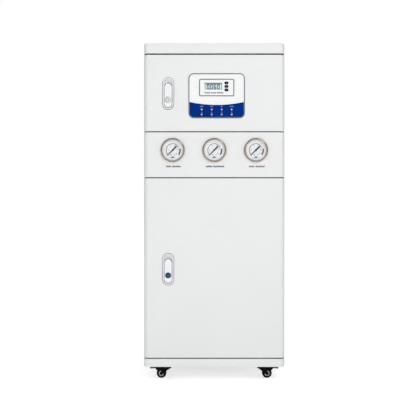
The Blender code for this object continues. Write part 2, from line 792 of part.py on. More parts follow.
def key_cylinder(name, place, surface):
    """The key cylinder with its keyway in front and a stud for the cam behind."""
    front = PADDLE_THICKNESS / 2 - PADDLE_PLANE
    shoulder = front - CYLINDER_LENGTH
    chamfer = KEYWAY_WIDTH / 2
    profile = [
        (0, shoulder - STUD_LENGTH),
        (STUD_RADIUS, shoulder - STUD_LENGTH),
        (STUD_RADIUS, shoulder),
        (CYLINDER_RADIUS, shoulder),
        (CYLINDER_RADIUS, front - chamfer),
        (CYLINDER_RADIUS - chamfer, front),
        (0, front),
    ]
    axis = Vector(place) + Vector((0, 0, -CYLINDER_DROP))
    mesh = facing_front(turned(profile, ROUND_STEPS))
    barrel = add_object(name, mesh, FINISHES[surface], axis, smooth=True)
    low, high = centred(KEYWAY_WIDTH, KEYWAY_HEIGHT)
    cut(barrel, prism(rectangle(low, high), "XZ", -front - OVERRUN, KEYWAY_DEPTH - front))
    return barrel


def lock_cam(name, place):
    """The flat cam on the key cylinder's stud; it hangs down while the door is unlocked."""
    start = CYLINDER_LENGTH - PADDLE_THICKNESS / 2 + PADDLE_PLANE + SEAT_GAP
    outline = stadium(2 * CAM_HALF_WIDTH, CAM_HALF_WIDTH, -CAM_LENGTH)
    axis = Vector(place) + Vector((0, 0, -CYLINDER_DROP))
    mesh = prism(outline, "XZ", start, start + CAM_THICKNESS)
    cam = add_object(name, mesh, FINISHES["steel"], axis)
    hole = circle((0, 0), STUD_RADIUS + SEAT_GAP, SMALL_STEPS)
    cut(cam, prism(hole, "XZ", start - OVERRUN, start + CAM_THICKNESS + OVERRUN))
    return cam


def lock(prefix, hinge, height, surface):
    """One pan lock on a door."""
    place = (LOCK_X, FRONT_Y, height)
    attach(lock_pan(f"{prefix}_lock_pan", place), hinge)
    attach(lock_paddle(f"{prefix}_lock_paddle", place), hinge)
    attach(key_cylinder(f"{prefix}_key_cylinder", place, surface), hinge)
    attach(lock_cam(f"{prefix}_lock_cam", place), hinge)


def gauge_places():
    """The three gauges' places across the cabinet."""
    return spread(GAUGE_COUNT, GAUGE_PITCH)


def gauge_case():
    """The gauge's case and bezel, turned in one; the movement fills it behind the dial."""
    rim = BEZEL_REACH - BEZEL_LIP_THICKNESS
    bore = CASE_RADIUS - CASE_WALL
    return turned([
        (0, -CASE_DEPTH - SPOUT_LENGTH),
        (SPOUT_RADIUS, -CASE_DEPTH - SPOUT_LENGTH),
        (SPOUT_RADIUS, -CASE_DEPTH),
        (CASE_RADIUS, -CASE_DEPTH),
        (CASE_RADIUS, SEAT_GAP),
        (BEZEL_RADIUS, SEAT_GAP),
        (BEZEL_RADIUS, BEZEL_REACH - BEZEL_CHAMFER),
        (BEZEL_RADIUS - BEZEL_CHAMFER, BEZEL_REACH),
        (BEZEL_LIP_RADIUS, BEZEL_REACH),
        (BEZEL_LIP_RADIUS, rim),
        (bore, rim),
        (bore, -DIAL_RECESS),
        (0, -DIAL_RECESS),
    ], GAUGE_STEPS)


def gauge_dial():
    """The dial disc with a hole for the pointer's shaft."""
    radius = CASE_RADIUS - CASE_WALL - SEAT_GAP
    low = SEAT_GAP - DIAL_RECESS
    hole = POINTER_SHAFT_RADIUS + RUNNING_GAP
    profile = [(hole, low), (radius, low), (radius, low + DIAL_THICKNESS), (hole, low + DIAL_THICKNESS)]
    return turned(profile, GAUGE_STEPS, ring=True)


def gauge_lens():
    """The glass behind the bezel's lip."""
    radius = CASE_RADIUS - CASE_WALL - SEAT_GAP
    high = BEZEL_REACH - BEZEL_LIP_THICKNESS - SEAT_GAP
    low = high - LENS_THICKNESS
    return turned([(0, low), (radius, low), (radius, high), (0, high)], GAUGE_STEPS)


def gauge_pointer(name, place):
    """The pointer: a blade with a fat tail on a hub whose shaft passes the dial."""
    shaft_end = SEAT_GAP - DIAL_RECESS
    hub_low = shaft_end + DIAL_THICKNESS + SEAT_GAP
    profile = [
        (0, shaft_end),
        (POINTER_SHAFT_RADIUS, shaft_end),
        (POINTER_SHAFT_RADIUS, hub_low),
        (POINTER_HUB_RADIUS, hub_low),
        (POINTER_HUB_RADIUS, POINTER_HUB_HEIGHT),
        (0, POINTER_HUB_HEIGHT),
    ]
    mesh = facing_front(turned(profile, SMALL_STEPS))
    pointer = add_object(name, mesh, FINISHES["black"], place, smooth=True)
    outline = [
        (POINTER_REACH, -POINTER_TIP_WIDTH / 2),
        (POINTER_REACH, POINTER_TIP_WIDTH / 2),
        (0, POINTER_ROOT_WIDTH / 2),
        (-POINTER_HUB_RADIUS, POINTER_TAIL_WIDTH / 2),
        (-POINTER_TAIL, POINTER_TAIL_WIDTH / 2),
        (-POINTER_TAIL, -POINTER_TAIL_WIDTH / 2),
        (-POINTER_HUB_RADIUS, -POINTER_TAIL_WIDTH / 2),
        (0, -POINTER_ROOT_WIDTH / 2),
    ]
    blade = prism(outline, "XZ", -POINTER_LIFT - POINTER_THICKNESS, -POINTER_LIFT)
    join(pointer, rotated(blade, -math.radians(POINTER_REST_DEGREES), "Y"))
    return pointer


def gauges():
    """Three panel pressure gauges."""
    for index, x in enumerate(gauge_places(), start=1):
        place = (x, FRONT_Y, GAUGE_PANEL_Z + GAUGE_HEIGHT)
        for part, shape, surface in (
            ("case", gauge_case, "steel"), ("dial", gauge_dial, "dial"), ("lens", gauge_lens, "glass"),
        ):
            mesh = facing_front(shape())
            add_object(f"gauge_{index}_{part}", mesh, FINISHES[surface], place, smooth=True)
        gauge_pointer(f"gauge_{index}_pointer", place)


def control_place():
    """The middle of the control unit on the upper door's face."""
    return Vector((CONTROL_OFFSET, FRONT_Y, UPPER_DOOR_Z + CONTROL_CENTRE_HEIGHT))


def fascia_outline(growth=0):
    """The blue band's outline: round lower corners and an upper edge that sags in the middle."""
    half = CONTROL_WIDTH / 2 - FASCIA_INSET + growth
    bottom = FASCIA_INSET - CONTROL_HEIGHT / 2 - growth
    shoulder = growth - FASCIA_SHOULDER_DROP
    radius = FASCIA_CORNER_RADIUS + growth
    points = arc((radius - half, bottom + radius), radius, 180, 270, CORNER_STEPS)
    points += arc((half - radius, bottom + radius), radius, 270, 360, CORNER_STEPS)
    for step in range(SAG_STEPS + 1):
        across = 1 - 2 * step / SAG_STEPS
        points.append((across * half, shoulder - FASCIA_SAG * (1 - across ** 2)))
    return points


def control_housing():
    """The control unit's white plate with the rebate for the meter and the recess for the fascia."""
    half_width = CONTROL_WIDTH / 2
    half_height = CONTROL_HEIGHT / 2
    outline = rounded((-half_width, -half_height), (half_width, half_height), CONTROL_CORNER_RADIUS,
                      CONTROL_CORNER_RADIUS, PANEL_STEPS)
    mesh = prism(outline, "XZ", -CONTROL_REACH, -SEAT_GAP)
    softened(mesh, 1, -CONTROL_REACH, CONTROL_EDGE_RADIUS)
    housing = add_object("control_housing", mesh, FINISHES["white_plastic"], control_place(), smooth=True)
    low, high = centred(METER_WIDTH + 2 * SEAT_GAP, METER_HEIGHT + 2 * SEAT_GAP, (0, METER_RISE))
    rebate = rounded(low, high, METER_CORNER_RADIUS + SEAT_GAP)
    floor = METER_PLATE - METER_PROUD - CONTROL_REACH + SEAT_GAP
    cut(housing, prism(rebate, "XZ", -CONTROL_REACH - OVERRUN, floor))
    cut(housing, meter_passage(floor - SEAT_GAP, OVERRUN, METER_RISE))
    recess_floor = FASCIA_THICKNESS + SEAT_GAP - CONTROL_REACH
    cut(housing, prism(fascia_outline(SEAT_GAP), "XZ", -CONTROL_REACH - OVERRUN, recess_floor))
    return housing


def meter_passage(start, end, height):
    """The space that the meter's case passes through."""
    low, high = centred(METER_CASE_WIDTH + 2 * SEAT_GAP, METER_CASE_HEIGHT + 2 * SEAT_GAP, (0, height))
    return prism(rectangle(low, high), "XZ", start, end)


def key_rise(index):
    """A key's height above the meter's middle."""
    return KEY_RISE + (1 - index) * KEY_PITCH


def display_module():
    """The panel meter: front plate and case, with the window's pocket and the keys' wells."""
    face = -CONTROL_REACH - METER_PROUD
    low, high = centred(METER_WIDTH, METER_HEIGHT)
    mesh = prism(rounded(low, high, METER_CORNER_RADIUS), "XZ", face, face + METER_PLATE)
    place = control_place() + Vector((0, 0, METER_RISE))
    module = add_object("display_module", mesh, FINISHES["white_plastic"], place)
    low, high = centred(METER_CASE_WIDTH, METER_CASE_HEIGHT)
    join(module, prism(rectangle(low, high), "XZ", face + METER_PLATE / 2, METER_CASE_DEPTH))
    window = (-WINDOW_SIDESTEP, WINDOW_RISE)
    low, high = centred(WINDOW_WIDTH + 2 * SEAT_GAP, WINDOW_HEIGHT + 2 * SEAT_GAP, window)
    floor = face + WINDOW_RECESS + WINDOW_THICKNESS + SEAT_GAP
    cut(module, prism(rectangle(low, high), "XZ", face - OVERRUN, floor))
    wells = []
    for index in range(len(KEY_NAMES)):
        middle = (KEY_SIDESTEP, key_rise(index))
        low, high = centred(KEY_WIDTH + 2 * RUNNING_GAP, KEY_HEIGHT + 2 * RUNNING_GAP, middle)
        outline = rounded(low, high, KEY_CORNER_RADIUS + RUNNING_GAP)
        wells.append(prism(outline, "XZ", face - OVERRUN, face + KEY_WELL_DEPTH))
    cut(module, together(wells))
    return module


def display_window():
    """The clear window over the liquid crystal."""
    front = WINDOW_RECESS - CONTROL_REACH - METER_PROUD
    low, high = centred(WINDOW_WIDTH, WINDOW_HEIGHT)
    place = control_place() + Vector((-WINDOW_SIDESTEP, 0, METER_RISE + WINDOW_RISE))
    mesh = prism(rectangle(low, high), "XZ", front, front + WINDOW_THICKNESS)
    return add_object("display_window", mesh, FINISHES["glass"], place)


def control_key(index):
    """One push key, which slides back into its well."""
    front = -CONTROL_REACH - METER_PROUD - KEY_PROUD
    low, high = centred(KEY_WIDTH, KEY_HEIGHT)
    place = control_place() + Vector((KEY_SIDESTEP, 0, METER_RISE + key_rise(index)))
    mesh = prism(rounded(low, high, KEY_CORNER_RADIUS), "XZ", front, front + KEY_LENGTH)
    return add_object(KEY_NAMES[index], mesh, FINISHES["key_navy"], place, smooth=True)


def indicator_fascia():
    """The blue fascia with the domes of its lamps."""
    front = -CONTROL_REACH
    mesh = prism(fascia_outline(), "XZ", front, front + FASCIA_THICKNESS)
    fascia = add_object("indicator_fascia", mesh, FINISHES["fascia_blue"], control_place())
    lamps = []
    for x in spread(LAMP_COLUMNS, LAMP_COLUMN_PITCH):
        for row in range(LAMP_ROWS):
            z = -LAMP_DROP - row * LAMP_ROW_PITCH
            outline = circle((x, z), LAMP_RADIUS, LAMP_STEPS)
            lamps.append(prism(outline, "XZ", front - LAMP_PROUD, front + FASCIA_THICKNESS / 2))
    join(fascia, together(lamps))
    return fascia


def control_unit(upper_door):
    """The whole control unit on the upper door, and the cut-out that its meter needs."""
    drop = Vector((CONTROL_OFFSET, 0, CONTROL_CENTRE_HEIGHT))
    cut(upper_door, moved(meter_passage(-OVERRUN, SHEET + OVERRUN, METER_RISE), drop))
    pieces = [control_housing(), display_module(), display_window(), indicator_fascia()]
    pieces += [control_key(index) for index in range(len(KEY_NAMES))]
    for piece in pieces:
        attach(piece, upper_door.parent)


def caster_places():
    """Each swivel's place in the cabinet's frame and the side its wheel trails to."""
    x = HALF_WIDTH - CASTER_SIDE_DISTANCE
    back = CABINET_DEPTH - CASTER_END_DISTANCE
    return [(side * x, y, side) for y in (CASTER_END_DISTANCE, back) for side in (-1, 1)]


def caster_fork(name, side, braked):
    """A caster's fork: roof and cheeks round the wheel, swivel disc and stem above, axle across."""
    half = WHEEL_WIDTH / 2 + WHEEL_SIDE_GAP + CHEEK_THICKNESS
    profile = [
        (-FORK_NOSE, FORK_TOP),
        (-FORK_NOSE, FORK_ROOF),
        (-FORK_WAIST, FORK_WAIST_HEIGHT),
    ]
    profile += arc((CASTER_TRAIL, AXLE_Z), FORK_BOSS_RADIUS, 180, 360, CORNER_STEPS)
    profile += [
        (FORK_HEEL, FORK_WAIST_HEIGHT),
        (FORK_TAIL, PEDAL_PIVOT_HEIGHT),
        (FORK_TAIL, FORK_TOP),
    ]
    profile = [(side * x, z) for x, z in profile]
    fork = add_object(name, prism(profile, "XZ", -half, half), FINISHES["black"])
    slot = half - CHEEK_THICKNESS
    low, high = centred(2 * (FORK_TAIL + OVERRUN), 2 * FORK_ROOF)
    cut(fork, prism(rectangle(low, high), "XZ", -slot, slot))
    plate = circle((0, 0), SWIVEL_RADIUS, ROUND_STEPS)
    disc = prism(plate, "XY", FORK_ROOF + OVERRUN, CASTER_HEIGHT - SEAT_GAP)
    stem = prism(circle((0, 0), STEM_RADIUS, SMALL_STEPS), "XY", FORK_TOP, CASTER_HEIGHT + STEM_LENGTH)
    reach = slot + CHEEK_THICKNESS / 2
    axle = prism(circle((side * CASTER_TRAIL, AXLE_Z), AXLE_RADIUS, SMALL_STEPS), "XZ", -reach, reach)
    join(fork, disc, stem, axle)
    if braked:
        pivot = (side * PEDAL_PIVOT_REACH, PEDAL_PIVOT_HEIGHT)
        join(fork, prism(circle(pivot, PEDAL_PIN_RADIUS, SMALL_STEPS), "XZ", -reach, reach))
    return fork


def caster_wheel(name):
    """A wheel with a recessed web, drawn on its axle with a facet at the bottom."""
    half = WHEEL_WIDTH / 2
    bore = AXLE_RADIUS + RUNNING_GAP
    flank = [
        (TREAD_SIDE_RADIUS, half),
        (RECESS_RADIUS, half - RECESS_DEPTH),
        (HUB_RADIUS, half),
        (bore, half),
    ]
    profile = [(radius, -height) for radius, height in reversed(flank)]
    profile += [(WHEEL_RADIUS, -half), (WHEEL_RADIUS, half)]
    profile += flank
    mesh = facing_front(turned(profile, ROUND_STEPS, ring=True))
    rotated(mesh, math.pi / ROUND_STEPS, "Y")
    return add_object(name, mesh, FINISHES["rubber"], smooth=True)


def brake_pedal(name, side):
    """A brake pedal on its pin: the plate points outwards and the shoe hangs beside the wheel."""
    half = WHEEL_WIDTH / 2 + WHEEL_SIDE_GAP - PEDAL_SIDE_GAP
    top = PEDAL_LIFT + PEDAL_THICKNESS
    profile = [(PEDAL_LENGTH, top - PEDAL_TIP_DROP), (PEDAL_BARREL_RADIUS, top)]
    profile += arc((0, 0), PEDAL_BARREL_RADIUS, 90, 180, CORNER_STEPS)
    profile += [
        (-PEDAL_BARREL_RADIUS, -SHOE_DROP / 2),
        (-SHOE_REACH, -SHOE_DROP),
        (SHOE_REACH, -SHOE_DROP),
        (PEDAL_BARREL_RADIUS, -SHOE_DROP / 2),
        (PEDAL_BARREL_RADIUS, PEDAL_LIFT),
        (PEDAL_LENGTH, PEDAL_LIFT - PEDAL_TIP_DROP),
    ]
    profile = [(side * x, z) for x, z in profile]
    pedal = add_object(name, prism(profile, "XZ", -half, half), FINISHES["black"])
    bore = circle((0, 0), PEDAL_PIN_RADIUS + RUNNING_GAP, SMALL_STEPS)
    cut(pedal, prism(bore, "XZ", -half - OVERRUN, half + OVERRUN))
    return pedal


def casters():
    """Four swivel casters; the front two have brake pedals."""
    for (x, y, side), name in zip(caster_places(), CASTER_NAMES):
        braked = name.startswith("front")
        swivel = add_empty(f"{name}_caster_swivel", (x, FRONT_Y + y, 0))
        fork = caster_fork(f"{name}_caster_fork", side, braked)
        fork.parent = swivel
        wheel = caster_wheel(f"{name}_caster_wheel")
        wheel.location = (side * CASTER_TRAIL, 0, AXLE_Z)
        wheel.parent = swivel
        if braked:
            pedal = brake_pedal(f"{name}_brake_pedal", side)
            pedal.location = (side * PEDAL_PIVOT_REACH, 0, PEDAL_PIVOT_HEIGHT)
            pedal.parent = swivel


def port_places():
    """The water ports' places across the cabinet."""
    return [x + PORT_BLOCK_X for x in spread(PORT_COUNT, PORT_PITCH)]


def water_port_block():
    """The block outside the rear panel whose barbed ports pass through it."""
    middle = (PORT_BLOCK_X, 0)
    low, high = centred(PORT_BLOCK_WIDTH, PORT_BLOCK_HEIGHT, middle)
    start = CABINET_DEPTH + SEAT_GAP
    mesh = prism(rectangle(low, high), "XZ", start, start + PORT_BLOCK_THICKNESS)
    place = (0, FRONT_Y, BASE_TOP_Z + PORT_BLOCK_ABOVE_BASE)
    block = add_object("water_port_block", mesh, FINISHES["black"], place)
    inner = -PORT_STUB_LENGTH
    barb = (PORT_REACH - PORT_COLLAR_REACH) / 2
    profile = [
        (0, inner),
        (PORT_STUB_RADIUS, inner),
        (PORT_STUB_RADIUS, SEAT_GAP + PORT_BLOCK_THICKNESS / 2),
        (PORT_COLLAR_RADIUS, SEAT_GAP + PORT_BLOCK_THICKNESS / 2),
        (PORT_COLLAR_RADIUS, PORT_COLLAR_REACH),
        (PORT_TIP_RADIUS, PORT_COLLAR_REACH),
        (PORT_BARB_RADIUS, PORT_COLLAR_REACH + barb),
        (PORT_TIP_RADIUS, PORT_REACH),
        (PORT_BORE_RADIUS, PORT_REACH),
        (PORT_BORE_RADIUS, PORT_COLLAR_REACH),
        (0, PORT_COLLAR_REACH),
    ]
    ports = []
    for x in port_places():
        port = rotated(turned(profile, SMALL_STEPS), -math.pi / 2, "X")
        ports.append(moved(port, (x, CABINET_DEPTH, 0)))
    join(block, together(ports))
    return block


def power_inlet():
    """The mains inlet module: flange and case, the socket with its blades, and the rocker's well."""
    low, high = centred(INLET_WIDTH, INLET_HEIGHT)
    back = CABINET_DEPTH + SEAT_GAP + INLET_FLANGE
    mesh = prism(rounded(low, high, INLET_CORNER_RADIUS), "XZ", CABINET_DEPTH + SEAT_GAP, back)
    place = (INLET_X, FRONT_Y, BASE_TOP_Z + INLET_ABOVE_BASE)
    inlet = add_object("power_inlet", mesh, FINISHES["black"], place)
    low, high = centred(INLET_WIDTH - 2 * INLET_CASE_INSET, INLET_HEIGHT - 2 * INLET_CASE_INSET)
    join(inlet, prism(rectangle(low, high), "XZ", back - INLET_DEPTH, back - INLET_FLANGE / 2))
    low, high = centred(SOCKET_WIDTH, SOCKET_HEIGHT, (0, SOCKET_RISE))
    cut(inlet, prism(rectangle(low, high), "XZ", back - SOCKET_DEPTH, back + OVERRUN))
    blades = []
    for index, rise in enumerate((-EARTH_BLADE_RISE, EARTH_BLADE_RISE, -EARTH_BLADE_RISE)):
        middle = ((index - 1) * BLADE_PITCH, rise + SOCKET_RISE)
        low, high = centred(BLADE_WIDTH, BLADE_HEIGHT, middle)
        root = back - SOCKET_DEPTH
        blades.append(prism(rectangle(low, high), "XZ", root - OVERRUN, root + BLADE_LENGTH))
    join(inlet, together(blades))
    low, high = centred(ROCKER_WIDTH + 2 * ROCKER_GAP, ROCKER_HEIGHT + 2 * ROCKER_GAP, (0, -ROCKER_DROP))
    cut(inlet, prism(rectangle(low, high), "XZ", back - ROCKER_WELL_DEPTH, back + OVERRUN))
    reach = ROCKER_WIDTH / 2 + ROCKER_GAP + OVERRUN
    axis = (back - ROCKER_THICKNESS / 2, -ROCKER_DROP)
    join(inlet, prism(circle(axis, ROCKER_PIN_RADIUS, SMALL_STEPS), "YZ", -reach, reach))
    return inlet


def main_switch():
    """The rocker, tipped about its pin to the off side."""
    half = ROCKER_HEIGHT / 2
    face = ROCKER_THICKNESS / 2
    profile = [(-face, -half), (face, -half), (face - ROCKER_DISH, 0), (face, half), (-face, half)]
    mesh = prism(profile, "YZ", -ROCKER_WIDTH / 2, ROCKER_WIDTH / 2)
    back = CABINET_DEPTH + SEAT_GAP + INLET_FLANGE
    height = BASE_TOP_Z + INLET_ABOVE_BASE - ROCKER_DROP
    place = (INLET_X, FRONT_Y + back - ROCKER_THICKNESS / 2, height)
    rocker = add_object("main_switch", mesh, FINISHES["black"], place)
    reach = ROCKER_WIDTH / 2 + OVERRUN
    bore = circle((0, 0), ROCKER_PIN_RADIUS + RUNNING_GAP, SMALL_STEPS)
    cut(rocker, prism(bore, "YZ", -reach, reach))
    rocker.rotation_euler = (math.radians(-ROCKER_TILT_DEGREES), 0, 0)
    return rocker


def filter_places():
    """The three filters' places across the cabinet."""
    return spread(FILTER_COUNT, FILTER_PITCH)


def filter_manifold():
    """The bracket between the side panels with the three filter heads under it."""
    half = HALF_WIDTH - SHEET - SEAT_GAP
    profile = [
        (BRACKET_FRONT, 0),
        (BRACKET_BACK - BRACKET_SHEET, 0),
        (BRACKET_BACK - BRACKET_SHEET, -BRACKET_LEG),
        (BRACKET_BACK, -BRACKET_LEG),
        (BRACKET_BACK, BRACKET_SHEET),
        (BRACKET_FRONT, BRACKET_SHEET),
    ]
    place = (0, FRONT_Y, BASE_TOP_Z + BRACKET_HEIGHT)
    manifold = add_object("filter_manifold", prism(profile, "YZ", -half, half), FINISHES["zinc"], place)
    heads = []
    for x in filter_places():
        outline = circle((x, FILTER_SETBACK), FILTER_HEAD_RADIUS, BOWL_STEPS)
        heads.append(prism(outline, "XY", -FILTER_HEAD_HEIGHT, BRACKET_SHEET / 2))
    join(manifold, together(heads))
    level = -FILTER_HEAD_HEIGHT / 2
    reach = filter_places()[-1]
    outline = circle((FILTER_SETBACK, level), FILTER_LINK_RADIUS, SMALL_STEPS)
    join(manifold, prism(outline, "YZ", -reach, reach))
    inlet = circle((-reach, level), NIPPLE_RADIUS, SMALL_STEPS)
    join(manifold, prism(inlet, "XZ", FILTER_SETBACK, BRACKET_BACK + NIPPLE_LENGTH))
    return manifold


def filter_bowl(name, x):
    """A filter bowl with its gripping collar; the cartridge fills it."""
    profile = [
        (0, -BOWL_LENGTH),
        (BOWL_FOOT_RADIUS / 2, -BOWL_LENGTH),
        (BOWL_FOOT_RADIUS, BOWL_CROWN - BOWL_LENGTH),
        (BOWL_RADIUS, -BOWL_COLLAR_HEIGHT),
        (BOWL_COLLAR_RADIUS, -BOWL_COLLAR_HEIGHT),
        (BOWL_COLLAR_RADIUS, 0),
        (0, 0),
    ]
    top = BASE_TOP_Z + BRACKET_HEIGHT - FILTER_HEAD_HEIGHT - SEAT_GAP
    place = (x, FRONT_Y + FILTER_SETBACK, top)
    return add_object(name, turned(profile, BOWL_STEPS), FINISHES["filter_blue"], place, smooth=True)


def capped_vessel(name, radius, cap_radius, cap_height, length, x):
    """A standing pressure vessel with a cap at each end and a nipple on top."""
    profile = [
        (0, 0),
        (cap_radius, 0),
        (cap_radius, cap_height),
        (radius, cap_height),
        (radius, length - cap_height),
        (cap_radius, length - cap_height),
        (cap_radius, length),
        (NIPPLE_RADIUS, length),
        (NIPPLE_RADIUS, length + NIPPLE_LENGTH),
        (0, length + NIPPLE_LENGTH),
    ]
    place = (x, FRONT_Y + CABINET_DEPTH - VESSEL_REAR_DISTANCE, FLOOR_Z)
    return add_object(name, turned(profile, BOWL_STEPS), FINISHES["membrane_white"], place, smooth=True)


def booster_pump():
    """The pump: foot plate, two saddles, the motor on its side and the square pump head."""
    low, high = centred(PUMP_FOOT_LENGTH, PUMP_FOOT_DEPTH)
    mesh = prism(rectangle(low, high), "XY", 0, PUMP_FOOT_THICKNESS)
    place = (0, FRONT_Y + PUMP_SETBACK, FLOOR_Z)
    pump = add_object("booster_pump", mesh, FINISHES["black"], place)
    axis_height = PUMP_FOOT_THICKNESS + PUMP_LIFT + PUMP_MOTOR_RADIUS
    saddles = []
    for side in (-1, 1):
        middle = (side * PUMP_MOTOR_LENGTH / 4 - PUMP_HEAD_WIDTH / 2, 0)
        low, high = centred(PUMP_SADDLE_WIDTH, PUMP_SADDLE_DEPTH, middle)
        saddles.append(prism(rectangle(low, high), "XY", PUMP_FOOT_THICKNESS / 2, axis_height))
    join(pump, together(saddles))
    motor_end = (PUMP_MOTOR_LENGTH - PUMP_HEAD_WIDTH) / 2
    outline = circle((0, axis_height), PUMP_MOTOR_RADIUS, BOWL_STEPS)
    join(pump, prism(outline, "YZ", motor_end - PUMP_MOTOR_LENGTH, motor_end))
    low, high = centred(PUMP_HEAD_SIZE, PUMP_HEAD_SIZE, (0, axis_height))
    join(pump, prism(rectangle(low, high), "YZ", motor_end - OVERRUN, motor_end + PUMP_HEAD_WIDTH))
    return pump


def power_supply():
    """The power supply's case on the shelf, with the ledge for its terminals."""
    half_width = SUPPLY_WIDTH / 2
    half_depth = SUPPLY_DEPTH / 2
    profile = [
        (-half_depth, 0),
        (half_depth, 0),
        (half_depth, SUPPLY_HEIGHT),
        (SUPPLY_LEDGE_DEPTH - half_depth, SUPPLY_HEIGHT),
        (SUPPLY_LEDGE_DEPTH - half_depth, SUPPLY_HEIGHT - SUPPLY_LEDGE_DROP),
        (-half_depth, SUPPLY_HEIGHT - SUPPLY_LEDGE_DROP),
    ]
    place = (SUPPLY_X, FRONT_Y + SUPPLY_SETBACK, SHELF_Z + SHEET + SEAT_GAP)
    mesh = prism(profile, "YZ", -half_width, half_width)
    return add_object("power_supply", mesh, FINISHES["zinc"], place)


def feed_tube():
    """The feed tube from the first port's stub to the first filter head, on one smooth curve."""
    start = Vector((port_places()[0], CABINET_DEPTH - PORT_STUB_LENGTH - SEAT_GAP, 0))
    start.z = PORT_BLOCK_ABOVE_BASE
    finish_point = Vector((filter_places()[0], BRACKET_BACK + NIPPLE_LENGTH + SEAT_GAP, 0))
    finish_point.z = BRACKET_HEIGHT - FILTER_HEAD_HEIGHT / 2
    span = start.y - finish_point.y
    start_pull = start - Vector((0, span * TUBE_PULL_SHARE, 0))
    finish_pull = finish_point + Vector((0, span * TUBE_PULL_SHARE, 0))
    curve = bpy.data.curves.new("feed_tube", "CURVE")
    curve.dimensions = "3D"
    spline = curve.splines.new("POLY")
    spline.points.add(TUBE_STEPS)
    for step in range(TUBE_STEPS + 1):
        share = step / TUBE_STEPS
        rest = 1 - share
        point = rest ** 3 * start + 3 * rest ** 2 * share * start_pull
        point += 3 * rest * share ** 2 * finish_pull + share ** 3 * finish_point
        spline.points[step].co = (*point, 1)
    curve.bevel_depth = TUBE_RADIUS
    curve.bevel_resolution = 2
    curve.use_fill_caps = True
    curve.materials.append(FINISHES["tube_blue"])
    tube = bpy.data.objects.new("feed_tube", curve)
    bpy.context.collection.objects.link(tube)
    tube.location = (0, FRONT_Y, BASE_TOP_Z)
    return tube


def build():
    """Make every piece of the purifier."""
    base_tray()
    top_cover()
    side_panel("side_panel_left", -1)
    side_panel("side_panel_right", 1)
    rear_panel()
    electronics_shelf()
    gauge_panel()
    gauges()

    lower_door = door("lower_door", LOWER_DOOR_Z, LOWER_DOOR_HEIGHT, LOWER_LOCK_HEIGHT)
    upper_door = door("upper_door", UPPER_DOOR_Z, UPPER_DOOR_HEIGHT, UPPER_LOCK_HEIGHT)
    hinge_rod("lower_hinge_rod", FLOOR_Z, GAUGE_PANEL_Z + HINGE_ROD_GRIP)
    hinge_rod("upper_hinge_rod", UPPER_DOOR_Z - DOOR_GAP - HINGE_ROD_GRIP, COVER_Z + HINGE_ROD_GRIP)
    lock("lower", lower_door.parent, LOWER_DOOR_Z + LOWER_LOCK_HEIGHT, "lock_blue")
    lock("upper", upper_door.parent, UPPER_DOOR_Z + UPPER_LOCK_HEIGHT, "zinc")
    control_unit(upper_door)

    casters()
    water_port_block()
    power_inlet()
    main_switch()

    filter_manifold()
    for index, x in enumerate(filter_places(), start=1):
        filter_bowl(f"filter_bowl_{index}", x)
    vessel_x = HALF_WIDTH - VESSEL_SIDE_DISTANCE
    capped_vessel("membrane_housing", MEMBRANE_RADIUS, MEMBRANE_CAP_RADIUS, MEMBRANE_CAP_HEIGHT,
                  MEMBRANE_LENGTH, -vessel_x)
    capped_vessel("resin_column", COLUMN_RADIUS, COLUMN_HEAD_RADIUS, COLUMN_HEAD_HEIGHT,
                  COLUMN_LENGTH, vessel_x)
    booster_pump()
    power_supply()
    feed_tube()


clear_scene()
FINISHES = make_finishes()
build()
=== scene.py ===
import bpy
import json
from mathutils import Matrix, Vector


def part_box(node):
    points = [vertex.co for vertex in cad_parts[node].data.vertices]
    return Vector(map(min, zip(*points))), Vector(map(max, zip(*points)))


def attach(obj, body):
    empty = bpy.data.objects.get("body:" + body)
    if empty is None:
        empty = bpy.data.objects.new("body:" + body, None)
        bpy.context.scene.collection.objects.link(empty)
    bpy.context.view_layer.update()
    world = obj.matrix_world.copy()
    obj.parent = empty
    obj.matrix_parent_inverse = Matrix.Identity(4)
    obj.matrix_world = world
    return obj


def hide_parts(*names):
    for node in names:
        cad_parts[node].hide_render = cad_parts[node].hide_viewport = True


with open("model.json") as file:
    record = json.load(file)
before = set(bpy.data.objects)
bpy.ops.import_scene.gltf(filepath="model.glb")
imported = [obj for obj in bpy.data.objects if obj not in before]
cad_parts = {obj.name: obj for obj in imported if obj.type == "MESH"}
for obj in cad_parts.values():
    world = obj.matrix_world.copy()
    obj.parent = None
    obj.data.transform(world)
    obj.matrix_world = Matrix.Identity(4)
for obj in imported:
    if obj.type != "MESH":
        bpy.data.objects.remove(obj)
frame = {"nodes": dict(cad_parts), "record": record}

"""Looks of the laboratory water purifier: finer shapes, finishes, studio light and the camera.

Everything is in metres, in the model's own frame: +Z up, the front towards -Y, x = 0 in the middle.
"""

import json
import math

import bmesh
import bpy
from mathutils import Matrix, Vector

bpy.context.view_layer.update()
BODIES = {}
for body, members in frame["record"]["behaviour"]["bodies"].items():
    for member in members:
        BODIES[member] = body

# Cabinet
CORNER_RADIUS = 0.014
REAR_RADIUS = 0.004
CORNER_STEPS = 14
SHEET = 0.0015
TRAY_WALL = 0.002
TRAY_RIM = 0.022
DOOR_RIM = 0.012
FOLD_RADIUS = 0.0007
LID_RADIUS = 0.0025
HINGE_BORE = 0.0028
OVERRUN = 0.002
LAYER = 0.0001

